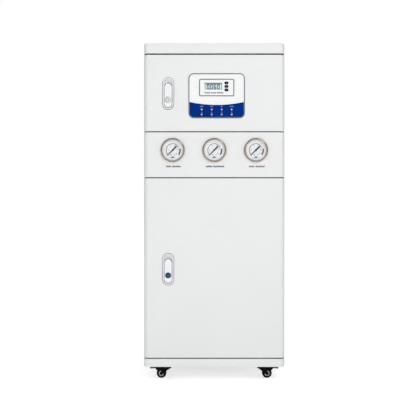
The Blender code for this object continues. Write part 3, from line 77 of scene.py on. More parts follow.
# Pan locks
LOCK_WIDTH = 0.033
LOCK_HEIGHT = 0.094
LOCK_LIP = 0.002
LOCK_WALL = 0.0015
LOCK_DEPTH = 0.0105
LOCK_NECK = 0.010
LOCK_NECK_DEPTH = 0.030
PADDLE_WIDTH = 0.0214
PADDLE_THICKNESS = 0.005
PADDLE_TOP = 0.0327
PADDLE_FOOT = 0.0405
PADDLE_PROUD = 0.0028
CYLINDER_DROP = 0.018
CYLINDER_RADIUS = 0.00775
PADDLE_HOLE = 0.00895
PIN_RADIUS = 0.0015
PIN_DROP = 0.012
PIN_SEAT = 0.0007
STUD_RADIUS = 0.0035
STUD_LENGTH = 0.005
LOCK_EDGE = 0.0009
# How far the painted shadow ring shows beyond a lock's flange.
FLANGE_SHADOW_SHOWS = 0.0012
# Where the painted shadow band round the paddle's top sits, and how wide it is.
SHADOW_BAND_INSET = 0.0003
SHADOW_BAND_WIDTH = 0.0016

# Gauges
BEZEL_RADIUS = 0.03575
BEZEL_REACH = 0.008
BEZEL_LIP = 0.0308
CASE_RADIUS = 0.033
CASE_BORE = 0.0317
CASE_DEPTH = 0.025
DIAL_RADIUS = 0.0314
DIAL_FACE = -0.0003
SPOUT_RADIUS = 0.006
SPOUT_LENGTH = 0.015
ZERO_DEGREES = 225
SWEEP_DEGREES = 270
SCALE_RADIUS = 0.0190
TICKS = 50
ARC_END = 66
RED_START, RED_END = 78, 127
RED_INNER, RED_OUTER = 0.0200, 0.0240
BEZEL_ROLL = 0.0036
BEZEL_EDGE = 0.0006
DIAL_BACK = -0.0013
PIVOT_RADIUS = 0.0013
NUMBER_SIZE = 0.0056
NUMBER_DROP = 0.0050
PANE_DROP = 0.0015
PANE_THICKNESS = 0.002
# The pointer's blade: how far it reaches towards its tip, and half its width there
BLADE = ((0.0222, 0.0012), (0.0, 0.0017), (-0.0030, 0.0022), (-0.0166, 0.0023))

# Control unit
PLATE_RADIUS = 0.016
METER_RADIUS = 0.005
SEAM = 0.0003
FASCIA_INSET = 0.004
FASCIA_RADIUS = 0.012
FASCIA_SHOULDER_DROP = 0.0188
FASCIA_SAG = 0.0086
FASCIA_THICKNESS = 0.0009
SAG_STEPS = 32
PLATE_LINE = 0.0028
METER_LINE = 0.0025
METER_PLATE = 0.0021
METER_CASE = (0.0926, 0.0456)
CASE_PLAY = 0.0006
LAMP_PITCH = 0.0297
LAMP_ROW_PITCH = 0.0149
LAMP_DROP = 0.0408
SEGMENTS = {
    "0": "abcdef", "1": "bc", "2": "abged", "3": "abgcd", "4": "fgbc", "5": "afgcd", "6": "afgedc",
    "7": "abc", "8": "abcdefg", "9": "abcdfg",
}
LAMP_CAPTIONS = ("xhxxhxx", "hxxhxx", "xhxx", "hxxhxhxx")
GAUGE_CAPTIONS = ("hxxhx xxhxxxhxxx", "xxhxhxx hxxxhxhxxxhx", "hxxhxx xhxxxhxxxh")
METER_CAPTION = "hxxhxxhx hxxxxhx hxxhxxhxx"

# Casters
CASTER_SIDE = 0.063
STEM_HOLE = 0.0043
STEM_RADIUS = 0.004
FORK_ROOF = 0.0325
FORK_TOP = 0.038
FORK_NOSE = 0.018
FORK_TAIL = 0.031
FORK_BOSS = 0.009
FORK_HEEL = 0.024
CASTER_TRAIL = 0.013
SWIVEL_RADIUS = 0.018
SWIVEL_FOOT = 0.0375
CHEEK = 0.0025
WHEEL_GAP = 0.0005
PEDAL_REACH = 0.027
PEDAL_LEVEL = 0.0285
BARREL = 0.0028

# Rear and inside
VENT_HEIGHTS = (0.911, 0.166)
VENT_PITCH = (0.094, 0.012)
VENT_HALF = (0.035, 0.002)
VENT_RADIUS = 0.00199
INLET_HALF = (0.021, 0.025)
INLET_FLANGE = (0.025, 0.029)
SCREW_X = 0.1995
SCREW_HEIGHTS = (0.082, 0.30, 0.52, 0.742, 0.96)
PORT_PITCH = 0.032
FILTER_X = (-0.125, 0.0, 0.125)
HOSE_RADIUS = 0.003175
NIPPLE = 0.014
BOARD_THICKNESS = 0.0016
TERMINAL_PITCH = 0.0123

# Camera and light
CAMERA_DISTANCE = 2.10
CAMERA_X = -0.0188
CAMERA_Z = 0.5154
SENSOR = 36.0
PIXEL = 0.002979
IMAGE_SIZE = 416
FLOOR_HALF = 30.0
AMBIENT = 0.50
FLOOR_GLOW = 0.60
SURROUND_DARK = (0.10, 0.085, 0.075, 1.0)
# Each lamp's name, place, size and power
LAMPS = (
    ("key", (1.2, -2.5, 2.2), 0.9, 13.0),
    ("front", (-0.3, -3.4, 0.34), 1.6, 43.0),
)

# Steps round the circle
FINE = 96
MEDIUM = 48
SMALL = 24
SHARP_DEGREES = 32

PLANE_AXES = {"XY": (0, 1, 2), "XZ": (0, 2, 1), "YZ": (1, 2, 0)}
TURNS = {"front": (math.pi / 2, "X"), "rear": (-math.pi / 2, "X"), "up": (0, "X"),
         "right": (math.pi / 2, "Y")}


def arc(centre, radius, start, end, steps):
    """Points on an arc, between two angles in degrees."""
    points = []
    for step in range(steps + 1):
        angle = math.radians(start + (end - start) * step / steps)
        points.append((centre[0] + radius * math.cos(angle), centre[1] + radius * math.sin(angle)))
    return points


def circle(centre, radius, steps=MEDIUM):
    """A circle's outline."""
    return arc(centre, radius, 0, 360, steps)[:-1]


def rectangle(low, high):
    """A rectangle's corners."""
    return [(low[0], low[1]), (high[0], low[1]), (high[0], high[1]), (low[0], high[1])]


def rounded(low, high, radius, steps=CORNER_STEPS):
    """A rectangle's outline with round corners."""
    points = []
    points += arc((low[0] + radius, low[1] + radius), radius, 180, 270, steps)
    points += arc((high[0] - radius, low[1] + radius), radius, 270, 360, steps)
    points += arc((high[0] - radius, high[1] - radius), radius, 0, 90, steps)
    points += arc((low[0] + radius, high[1] - radius), radius, 90, 180, steps)
    return points


def stadium(width, top, foot, middle, steps=20):
    """A slot's outline with round ends; top and foot are heights from its middle."""
    radius = width / 2
    x, z = middle
    points = arc((x, z + top - radius), radius, 0, 180, steps)
    points += arc((x, z + foot + radius), radius, 180, 360, steps)
    return points


def prism(outline, plane, start, end):
    """A closed solid with the outline in the named plane, from start to end across it."""
    across, up, along = PLANE_AXES[plane]
    mesh = bmesh.new()
    rings = []
    for level in (start, end):
        ring = []
        for first, second in outline:
            place = Vector((0, 0, 0))
            place[across], place[up], place[along] = first, second, level
            ring.append(mesh.verts.new(place))
        rings.append(ring)
    count = len(outline)
    for index in range(count):
        after = (index + 1) % count
        mesh.faces.new((rings[0][index], rings[0][after], rings[1][after], rings[1][index]))
    mesh.faces.new(rings[0][::-1])
    mesh.faces.new(rings[1])
    bmesh.ops.recalc_face_normals(mesh, faces=mesh.faces[:])
    return mesh


def lathe(profile, steps, place, way="front", ring=False):
    """A solid of revolution from (radius, reach) pairs; reach runs to the front, the rear or up."""
    mesh = bmesh.new()
    verts = [mesh.verts.new((radius, 0, reach)) for radius, reach in profile]
    edges = [mesh.edges.new(pair) for pair in zip(verts, verts[1:])]
    if ring:
        edges.append(mesh.edges.new((verts[-1], verts[0])))
    bmesh.ops.spin(mesh, geom=verts + edges, cent=(0, 0, 0), axis=(0, 0, 1),
                   angle=math.tau, steps=steps, use_merge=True)
    bmesh.ops.remove_doubles(mesh, verts=mesh.verts[:], dist=LAYER / 20)
    angle, turned_on = TURNS[way]
    mesh.transform(Matrix.Translation(place) @ Matrix.Rotation(angle, 4, turned_on))
    bmesh.ops.recalc_face_normals(mesh, faces=mesh.faces[:])
    return mesh


def merged(meshes):
    """Several meshes gathered into one."""
    gathered = bmesh.new()
    for mesh in meshes:
        data = bpy.data.meshes.new("part")
        mesh.to_mesh(data)
        mesh.free()
        gathered.from_mesh(data)
        bpy.data.meshes.remove(data)
    return gathered


def make(name, mesh, material):
    """A new object that holds the mesh."""
    data = bpy.data.meshes.new(name)
    mesh.to_mesh(data)
    mesh.free()
    obj = bpy.data.objects.new(name, data)
    bpy.context.scene.collection.objects.link(obj)
    data.materials.append(material)
    return obj


def settle(obj):
    """Apply the object's modifiers."""
    depsgraph = bpy.context.evaluated_depsgraph_get()
    data = bpy.data.meshes.new_from_object(obj.evaluated_get(depsgraph))
    obj.modifiers.clear()
    old = obj.data
    obj.data = data
    bpy.data.meshes.remove(old)


def shape(obj, operation, meshes):
    """Cut meshes out of the object, or join them on."""
    tools = []
    for mesh in meshes:
        tool = make("tool", mesh, obj.data.materials[0])
        tools.append(tool)
        boolean = obj.modifiers.new("shape", "BOOLEAN")
        boolean.operation = operation
        boolean.solver = "EXACT"
        boolean.object = tool
    settle(obj)
    for tool in tools:
        bpy.data.objects.remove(tool)


def soften(obj, width, segments=3):
    """Round the sharp edges, then shade the round surfaces smooth."""
    if width:
        bevel = obj.modifiers.new("soften", "BEVEL")
        bevel.width = width
        bevel.segments = segments
        bevel.limit_method = "ANGLE"
        bevel.angle_limit = math.radians(SHARP_DEGREES)
        bevel.use_clamp_overlap = True
        bevel.miter_outer = "MITER_ARC"
        settle(obj)
    obj.data.shade_smooth()
    obj.data.set_sharp_from_angle(angle=math.radians(SHARP_DEGREES))


def piece(name, mesh, material, body, replaces=(), cuts=(), joins=(), edge=0.0, segments=3):
    """A finished piece that rides on a body and stands for the nodes it replaces."""
    obj = make(name, mesh, material)
    if joins:
        shape(obj, "UNION", joins)
    if cuts:
        shape(obj, "DIFFERENCE", cuts)
    soften(obj, edge, segments)
    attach(obj, body)
    if replaces:
        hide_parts(*replaces)
    return obj


class Graph:
    """A material's node tree with short calls to add and link nodes."""

    def __init__(self, name):
        self.material = bpy.data.materials.new(name)
        self.material.use_nodes = True
        self.tree = self.material.node_tree
        self.shader = self.tree.nodes["Principled BSDF"]
        self.place = self.add("ShaderNodeTexCoord").outputs["Object"]

    def add(self, kind, **settings):
        node = self.tree.nodes.new(kind)
        for key, value in settings.items():
            setattr(node, key, value)
        return node

    def link(self, output, target):
        self.tree.links.new(output, target)

    def noise(self, scale, detail=3.0, stretch=None):
        """Noise in the piece's own space; stretch squeezes it along an axis."""
        place = self.place
        if stretch:
            mapping = self.add("ShaderNodeMapping")
            mapping.inputs["Scale"].default_value = stretch
            self.link(place, mapping.inputs["Vector"])
            place = mapping.outputs["Vector"]
        node = self.add("ShaderNodeTexNoise")
        node.inputs["Scale"].default_value = scale
        node.inputs["Detail"].default_value = detail
        self.link(place, node.inputs["Vector"])
        return node.outputs["Fac"]

    def spread(self, value, low, high, start=0.3, end=0.7):
        """Map a value from start..end to low..high."""
        node = self.add("ShaderNodeMapRange")
        for key, number in (("From Min", start), ("From Max", end), ("To Min", low), ("To Max", high)):
            node.inputs[key].default_value = number
        self.link(value, node.inputs["Value"])
        return node.outputs["Result"]

    def mix(self, share, first, second):
        """Mix two colours, or a colour output with a colour."""
        node = self.add("ShaderNodeMix", data_type="RGBA")
        self.link(share, node.inputs[0])
        for index, colour in ((6, first), (7, second)):
            if isinstance(colour, tuple):
                node.inputs[index].default_value = (*colour, 1.0)
            else:
                self.link(colour, node.inputs[index])
        return node.outputs[2]

    def edges(self, radius):
        """A mask that is 1 along the edges: where a rounded normal leaves the true one."""
        bevel = self.add("ShaderNodeBevel", samples=4)
        bevel.inputs["Radius"].default_value = radius
        geometry = self.add("ShaderNodeNewGeometry")
        dot = self.add("ShaderNodeVectorMath", operation="DOT_PRODUCT")
        self.link(bevel.outputs["Normal"], dot.inputs[0])
        self.link(geometry.outputs["Normal"], dot.inputs[1])
        return self.spread(dot.outputs["Value"], 1.0, 0.0, 0.80, 0.985)

    def bump(self, height, strength, distance):
        node = self.add("ShaderNodeBump")
        node.inputs["Strength"].default_value = strength
        node.inputs["Distance"].default_value = distance
        self.link(height, node.inputs["Height"])
        self.link(node.outputs["Normal"], self.shader.inputs["Normal"])


def toned(colour, share):
    """A colour made darker or lighter."""
    return tuple(min(1.0, channel * share) for channel in colour)


def surface(name, colour, roughness, metallic=0.0, tone=0.03, blotch=9.0, grain=900.0,
            bump=0.15, depth=0.00006, wear=None, wear_share=0.4, stretch=None, rough_spread=0.06,
            coat=0.0, specular=0.5):
    """A finish with blotches in its tone, a grain, uneven gloss and worn edges."""
    graph = Graph(name)
    shader = graph.shader
    shader.inputs["Metallic"].default_value = metallic
    shader.inputs["Specular IOR Level"].default_value = specular
    if coat:
        shader.inputs["Coat Weight"].default_value = coat
        shader.inputs["Coat Roughness"].default_value = 0.12
    share = graph.spread(graph.noise(blotch, 4.0), 0.0, 1.0)
    base = graph.mix(share, toned(colour, 1 - tone), toned(colour, 1 + tone))
    if wear:
        mask = graph.edges(0.0008)
        patches = graph.spread(graph.noise(120.0, 2.0), 0.0, wear_share, 0.35, 0.6)
        both = graph.add("ShaderNodeMath", operation="MULTIPLY")
        graph.link(mask, both.inputs[0])
        graph.link(patches, both.inputs[1])
        base = graph.mix(both.outputs["Value"], base, wear)
    graph.link(base, shader.inputs["Base Color"])
    fine = graph.noise(grain, 2.0, stretch)
    uneven = graph.noise(blotch * 4, 3.0, stretch)
    gloss = graph.spread(uneven, roughness - rough_spread, roughness + rough_spread)
    graph.link(gloss, shader.inputs["Roughness"])
    graph.bump(fine, bump, depth)
    return graph.material


def clear(name, colour, alpha, roughness=0.04):
    """Clear glass or plastic: mostly see-through, with a gloss that smears a little."""
    graph = Graph(name)
    shader = graph.shader
    share = graph.spread(graph.noise(30.0), 0.0, 1.0)
    graph.link(graph.mix(share, toned(colour, 0.97), colour), shader.inputs["Base Color"])
    graph.link(graph.spread(graph.noise(60.0), roughness, roughness * 2), shader.inputs["Roughness"])
    shader.inputs["Alpha"].default_value = alpha
    shader.inputs["IOR"].default_value = 1.15
    graph.bump(graph.noise(80.0), 0.02, LAYER)
    return graph.material


WHITE = surface("powder_white", (0.86, 0.87, 0.868), 0.40, tone=0.008, blotch=5.0, grain=1100.0,
                bump=0.10, depth=0.00008, wear=(0.93, 0.93, 0.93), wear_share=0.5)
LOCK_WHITE = surface("lock_white", (0.91, 0.915, 0.93), 0.24, tone=0.012, blotch=40.0, grain=1500.0,
                     bump=0.05, wear=(0.62, 0.62, 0.63), wear_share=0.5, coat=0.3)
PLATE_WHITE = surface("plate_white", (0.93, 0.935, 0.94), 0.30, tone=0.006, blotch=20.0, grain=2200.0,
                      bump=0.08, wear=(0.97, 0.97, 0.97))
BEZEL = surface("bezel_steel", (0.46, 0.38, 0.31), 0.18, metallic=1.0, tone=0.10, blotch=60.0,
                grain=700.0, bump=0.06, depth=0.00004, wear=(0.62, 0.58, 0.54), rough_spread=0.07)
STEEL = surface("steel", (0.55, 0.54, 0.52), 0.26, metallic=1.0, tone=0.08, blotch=50.0,
                grain=500.0, bump=0.08, wear=(0.75, 0.74, 0.72), stretch=(1.0, 1.0, 0.08))
ZINC = surface("zinc", (0.66, 0.67, 0.68), 0.36, metallic=1.0, tone=0.14, blotch=45.0,
               grain=160.0, bump=0.12, wear=(0.80, 0.80, 0.80), rough_spread=0.12)
BRASS = surface("brass", (0.62, 0.45, 0.20), 0.28, metallic=1.0, tone=0.12, blotch=70.0,
                grain=600.0, bump=0.08, wear=(0.80, 0.64, 0.36))
NICKEL = surface("key_nickel", (0.80, 0.80, 0.81), 0.34, metallic=0.35, tone=0.05, blotch=90.0,
                 grain=900.0, bump=0.06, wear=(0.88, 0.88, 0.88))
LOCK_BLUE = surface("lock_blue", (0.010, 0.035, 0.105), 0.30, tone=0.10, blotch=90.0, grain=1500.0,
                    bump=0.08, wear=(0.06, 0.12, 0.24), wear_share=0.3, specular=0.25)
LOCK_CORE = surface("lock_core", (0.075, 0.16, 0.36), 0.32, tone=0.10, blotch=120.0, grain=1500.0,
                    bump=0.08, wear=(0.20, 0.30, 0.48), specular=0.25)
DIAL = surface("dial_white", (0.90, 0.925, 0.95), 0.50, tone=0.012, blotch=60.0, grain=2600.0, bump=0.05)
INK = surface("ink_blue_grey", (0.045, 0.055, 0.10), 0.55, tone=0.08, blotch=200.0, grain=3000.0, bump=0.05)
GREY_INK = surface("ink_grey", (0.035, 0.038, 0.055), 0.55, tone=0.08, blotch=200.0, grain=3000.0, bump=0.05)
# Grey-blue border line: print, darkened so that it also stands for the shadow gap round the edge as painted
# shade.
LINE_INK_AND_EDGE_SHADE = surface("ink_line_and_edge_shade", (0.085, 0.105, 0.16), 0.45, tone=0.06, blotch=60.0, grain=3000.0, bump=0.05)
RED_INK = surface("ink_red", (0.10, 0.001, 0.004), 0.50, tone=0.08, blotch=200.0, grain=3000.0, bump=0.05)
TEAL_INK = surface("ink_teal", (0.03, 0.13, 0.19), 0.50, tone=0.08, blotch=200.0, grain=3000.0, bump=0.05)
PALE_INK = surface("ink_pale", (0.30, 0.34, 0.60), 0.50, tone=0.05, blotch=200.0, grain=3000.0, bump=0.05)
# Black for the pointers, and painted shade for the filler in the key slots.
NEEDLE_BLACK_AND_SLOT_SHADE = surface("needle_black_and_slot_shade", (0.012, 0.012, 0.014), 0.35, tone=0.10, blotch=200.0, grain=2600.0,
                 bump=0.05, wear=(0.08, 0.08, 0.08))
BLUE_FILM = surface("fascia_blue", (0.001, 0.030, 0.215), 0.40, tone=0.05, blotch=25.0, grain=2600.0,
                    bump=0.08, wear=(0.002, 0.05, 0.28), specular=0.02)
NAVY = surface("key_navy", (0.003, 0.004, 0.050), 0.40, tone=0.10, blotch=150.0, grain=2200.0,
               bump=0.10, wear=(0.01, 0.02, 0.09), specular=0.03)
LAMP = surface("lamp_lens", (0.52, 0.57, 0.86), 0.20, tone=0.05, blotch=200.0, grain=2200.0,
               bump=0.03, coat=0.4)
LCD = surface("lcd_ground", (0.70, 0.86, 0.84), 0.30, tone=0.03, blotch=60.0, grain=5000.0, bump=0.05)
# Painted shadow: dark green-grey for the rim of the liquid crystal, where the window's recess would shade it.
LCD_PAINTED_SHADOW = surface("lcd_painted_shadow", (0.10, 0.17, 0.15), 0.40, tone=0.08, blotch=90.0, grain=5000.0, bump=0.05)
SEGMENT = surface("lcd_segment", (0.030, 0.050, 0.13), 0.35, tone=0.08, blotch=150.0, grain=5000.0, bump=0.03)
BLACK = surface("black_moulded", (0.012, 0.012, 0.013), 0.42, tone=0.15, blotch=50.0, grain=1800.0,
                bump=0.20, wear=(0.07, 0.07, 0.075))
ENAMEL = surface("black_enamel", (0.004, 0.004, 0.005), 0.34, tone=0.20, blotch=60.0, grain=900.0,
                 bump=0.08, wear=(0.04, 0.04, 0.045), wear_share=0.3, specular=0.06)
RUBBER = surface("rubber", (0.007, 0.007, 0.008), 0.68, tone=0.20, blotch=60.0, grain=1400.0,
                 bump=0.30, wear=(0.02, 0.02, 0.02), specular=0.06)
# Near-black painted shadow for the ring round each lock's flange.
FLANGE_SHADOW_DARK = surface("painted_flange_shadow", (0.012, 0.012, 0.013), 0.75, tone=0.15, blotch=90.0, grain=1400.0,
                 bump=0.20, specular=0.10)
# Near-black painted shadow for the strips behind the seams and for the band round each paddle's top.
PAINTED_SHADOW_DARK = surface("painted_shadow_dark", (0.012, 0.012, 0.012), 0.80, tone=0.20, blotch=60.0, grain=1400.0,
               bump=0.30, specular=0.10)
# Light grey: the drain ports' colour rings, and a painted highlight on the casters' ribs.
GREY_RING_AND_HIGHLIGHT = surface("grey_ring_and_painted_highlight", (0.42, 0.43, 0.45), 0.30, metallic=0.6, tone=0.15, blotch=120.0,
                   grain=900.0, bump=0.10, wear=(0.75, 0.75, 0.76))
BOWL_BLUE = surface("bowl_blue", (0.025, 0.15, 0.50), 0.24, tone=0.06, blotch=25.0, grain=1500.0,
                    bump=0.08, wear=(0.10, 0.30, 0.62), coat=0.3)
HEAD_BLACK = surface("head_black", (0.03, 0.03, 0.033), 0.45, tone=0.12, blotch=40.0, grain=1400.0,
                     bump=0.20, wear=(0.09, 0.09, 0.09))
SHELL_WHITE = surface("shell_white", (0.80, 0.81, 0.79), 0.34, tone=0.02, blotch=18.0, grain=900.0,
                      bump=0.12, wear=(0.88, 0.88, 0.87))
WOUND = surface("wound_shell", (0.20, 0.36, 0.52), 0.36, tone=0.14, blotch=22.0, grain=420.0,
                bump=0.45, depth=0.0002, stretch=(0.25, 0.25, 3.0))
BOARD_GREEN = surface("board_green", (0.02, 0.16, 0.07), 0.34, tone=0.12, blotch=60.0, grain=1500.0,
                      bump=0.10, wear=(0.30, 0.26, 0.10))
TUBE_BLUE = surface("tube_blue", (0.05, 0.26, 0.68), 0.30, tone=0.06, blotch=40.0, grain=1500.0, bump=0.05)
TUBE_WHITE = surface("tube_white", (0.80, 0.82, 0.82), 0.32, tone=0.03, blotch=40.0, grain=1500.0, bump=0.05)
GLASS = clear("gauge_glass", (0.92, 0.95, 0.97), 0.02)
WINDOW = clear("window_clear", (0.90, 0.96, 0.94), 0.03)


# Trays of folded sheet: the plinth, the lid, the doors and the fixed gauge panel

DOOR_LOW, DOOR_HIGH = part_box("lower_door")
FRONT = DOOR_LOW.y
HALF_WIDTH = DOOR_HIGH.x
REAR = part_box("base_tray")[1].y
HINGE = (HALF_WIDTH - CORNER_RADIUS, FRONT + CORNER_RADIUS)
LOCK_X = (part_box("lower_lock_pan")[0].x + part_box("lower_lock_pan")[1].x) / 2


def deck_plan(inset):
    """The cabinet's plan from above, drawn in from its faces."""
    front_radius, rear_radius = CORNER_RADIUS - inset, REAR_RADIUS - inset
    left, right = inset - HALF_WIDTH, HALF_WIDTH - inset
    front, rear = FRONT + inset, REAR - inset
    points = arc((left + front_radius, front + front_radius), front_radius, 180, 270, CORNER_STEPS)
    points += arc((right - front_radius, front + front_radius), front_radius, 270, 360, CORNER_STEPS)
    points += arc((right - rear_radius, rear - rear_radius), rear_radius, 0, 90, CORNER_STEPS // 2)
    points += arc((left + rear_radius, rear - rear_radius), rear_radius, 90, 180, CORNER_STEPS // 2)
    return points


def deck(node, open_top, holes):
    """The plinth or the lid: a shallow tray with a rim round its open side."""
    low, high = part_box(node)
    mouth = rectangle((TRAY_RIM - HALF_WIDTH, FRONT + TRAY_RIM), (HALF_WIDTH - TRAY_RIM, REAR - TRAY_RIM))
    rim = (high.z - TRAY_WALL, high.z) if open_top else (low.z, low.z + TRAY_WALL)
    bore = prism(circle(HINGE, HINGE_BORE, SMALL), "XY", rim[0] - OVERRUN, rim[1] + OVERRUN)
    cuts = [
        prism(deck_plan(TRAY_WALL), "XY", low.z + TRAY_WALL, high.z - TRAY_WALL),
        prism(mouth, "XY", rim[0] - OVERRUN, rim[1] + OVERRUN),
        bore,
    ] + holes
    mesh = prism(deck_plan(0), "XY", low.z, high.z) if open_top else lid_block(low.z, high.z)
    piece(f"{node}_shell", mesh, WHITE, "cabinet", (node,), cuts, edge=FOLD_RADIUS)


def lid_block(low, high):
    """The lid's solid, its upper edge rounded over."""
    levels = [(low, 0.0)]
    for step in range(7):
        angle = math.radians(15 * step)
        levels.append((high - LID_RADIUS * (1 - math.sin(angle)), LID_RADIUS * (1 - math.cos(angle))))
    mesh = bmesh.new()
    rings = [[mesh.verts.new((x, y, level)) for x, y in deck_plan(inset)] for level, inset in levels]
    for one, two in zip(rings, rings[1:]):
        count = len(one)
        for index in range(count):
            after = (index + 1) % count
            mesh.faces.new((one[index], one[after], two[after], two[index]))
    mesh.faces.new(rings[0][::-1])
    mesh.faces.new(rings[-1])
    bmesh.ops.recalc_face_normals(mesh, faces=mesh.faces[:])
    return mesh


def stem_holes():
    """The holes in the plinth's floor for the casters' stems."""
    holes = []
    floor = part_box("base_tray")[0].z
    for corner in ("front_left", "front_right", "rear_left", "rear_right"):
        low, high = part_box(f"{corner}_caster_fork")
        side = 1 if corner.endswith("right") else -1
        x = side * (HALF_WIDTH - CASTER_SIDE)
        y = (low.y + high.y) / 2
        holes.append(prism(circle((x, y), STEM_HOLE, SMALL), "XY", floor - OVERRUN, floor + 2 * TRAY_WALL))
    return holes


def tray_plan(back, inset):
    """The plan of a tray across the front: round front corners and a square back."""
    radius = CORNER_RADIUS - inset
    left, right = inset - HALF_WIDTH, HALF_WIDTH - inset
    middle = FRONT + inset + radius
    points = [(right, back), (left, back)]
    points += arc((left + radius, middle), radius, 180, 270, CORNER_STEPS)
    points += arc((right - radius, middle), radius, 270, 360, CORNER_STEPS)
    return points


def front_tray(node, holes):
    """A door or the gauge panel: a folded tray, open at the back inside its rim."""
    low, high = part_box(node)
    mouth = rectangle((DOOR_RIM - HALF_WIDTH, low.z + DOOR_RIM), (HALF_WIDTH - DOOR_RIM, high.z - DOOR_RIM))
    cuts = [
        prism(tray_plan(high.y - SHEET, SHEET), "XY", low.z + SHEET, high.z - SHEET),
        prism(mouth, "XZ", high.y - SHEET - OVERRUN, high.y + OVERRUN),
        prism(circle(HINGE, HINGE_BORE, SMALL), "XY", low.z - OVERRUN, high.z + OVERRUN),
    ] + holes
    mesh = prism(tray_plan(high.y, 0), "XY", low.z, high.z)
    piece(f"{node}_shell", mesh, WHITE, BODIES[node], (node,), cuts, edge=FOLD_RADIUS)


def through(outline):
    """A cutter through a front sheet."""
    return prism(outline, "XZ", FRONT - OVERRUN, FRONT + SHEET + OVERRUN)


def lock_middle(level):
    """The middle height of a lock pan."""
    low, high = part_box(f"{level}_lock_pan")
    return (low.z + high.z) / 2


def lock_hole(level):
    """The hole in a door for its lock pan."""
    reach = LOCK_HEIGHT / 2 - LOCK_LIP + SEAM
    return through(stadium(LOCK_WIDTH - 2 * LOCK_LIP + 2 * SEAM, reach, -reach, (LOCK_X, lock_middle(level))))


def about(middle, half):
    """The low and high corners of a rectangle about its middle."""
    return (middle[0] - half[0], middle[1] - half[1]), (middle[0] + half[0], middle[1] + half[1])


def plan_middle(node):
    """The middle of a node, seen from above, with its foot and top."""
    low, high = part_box(node)
    return (low.x + high.x) / 2, (low.y + high.y) / 2, low.z, high.z


def top_middle(node):
    """The middle of a node's top, where its nipple ends."""
    x, y, bottom, top = plan_middle(node)
    return Vector((x, y, top))


def front_middle(node):
    """The middle of a node, seen from the front."""
    low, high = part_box(node)
    return (low.x + high.x) / 2, (low.z + high.z) / 2


def meter_passage(play=0.0):
    """The outline of the hole that the meter's case passes."""
    half = (METER_CASE[0] / 2 - play, METER_CASE[1] / 2 - play)
    return rectangle(*about(front_middle("display_module"), half))


GAUGE_Z = (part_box("gauge_1_case")[0].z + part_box("gauge_1_case")[1].z) / 2
GAUGE_X = [(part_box(f"gauge_{n}_case")[0].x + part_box(f"gauge_{n}_case")[1].x) / 2 for n in (1, 2, 3)]

deck("base_tray", True, stem_holes())
deck("top_cover", False, [])
front_tray("lower_door", [lock_hole("lower")])
front_tray("upper_door", [lock_hole("upper"), through(meter_passage())])
front_tray("gauge_panel", [through(circle((x, GAUGE_Z), CASE_RADIUS + SEAM)) for x in GAUGE_X])


# Pan locks

def pan(level, middle, axis):
    """The oval pan: its flange, well and neck, on a thin dark ring that is a painted shadow round the
    flange's edge.
    """
    door = f"{level}_door"
    half = LOCK_HEIGHT / 2
    lip_front = FRONT - SEAM - LOCK_LIP
    width, reach = LOCK_WIDTH - 2 * LOCK_LIP, half - LOCK_LIP
    back = FRONT + LOCK_DEPTH + LOCK_WALL
    flange = prism(stadium(LOCK_WIDTH, half, -half, middle), "XZ", lip_front, FRONT - SEAM)
    body = prism(stadium(width, reach, -reach, middle), "XZ", lip_front + LOCK_LIP / 2, back)
    neck = prism(circle(axis, LOCK_NECK), "XZ", back - LOCK_WALL / 2, FRONT + LOCK_NECK_DEPTH)
    inside = stadium(width - 2 * LOCK_WALL, reach - LOCK_WALL, LOCK_WALL - reach, middle)
    well = prism(inside, "XZ", lip_front - OVERRUN, FRONT + LOCK_DEPTH)
    bore = prism(circle(axis, CYLINDER_RADIUS + SEAM), "XZ", FRONT, FRONT + LOCK_NECK_DEPTH + OVERRUN)
    piece(f"{level}_pan", flange, LOCK_WHITE, door, (f"{level}_lock_pan",),
          [well, bore], [body, neck], edge=LOCK_EDGE)

    # Painted shadow: a thin dark ring just beyond the flange, standing for the shade round its edge.
    rim = half + FLANGE_SHADOW_SHOWS
    ring = prism(stadium(LOCK_WIDTH + 2 * FLANGE_SHADOW_SHOWS, rim, -rim, middle), "XZ",
                 FRONT - SEAM * 0.95, FRONT - SEAM * 0.05)
    inner = prism(stadium(width, reach, -reach, middle), "XZ", FRONT - OVERRUN, FRONT + OVERRUN)
    piece(f"{level}_flange_shadow", ring, FLANGE_SHADOW_DARK, door, (), [inner])


def paddle(level, middle, axis):
    """The lift paddle with its pin."""
    face = FRONT - PADDLE_PROUD
    back = face + PADDLE_THICKNESS
    pivot = (FRONT - SEAM, axis[1] - PIN_DROP)
    plate = prism(stadium(PADDLE_WIDTH, PADDLE_TOP, -PADDLE_FOOT, middle), "XZ", face, back)
    pin_reach = LOCK_WIDTH / 2 - LOCK_LIP - LOCK_WALL + PIN_SEAT
    pin = prism(circle(pivot, PIN_RADIUS, SMALL), "YZ", LOCK_X - pin_reach, LOCK_X + pin_reach)
    hole = prism(circle(axis, PADDLE_HOLE), "XZ", face - OVERRUN, back + OVERRUN)
    piece(f"{level}_paddle", plate, LOCK_WHITE, f"{level}_paddle", (f"{level}_lock_paddle",),
          [hole], [pin], edge=LOCK_EDGE)


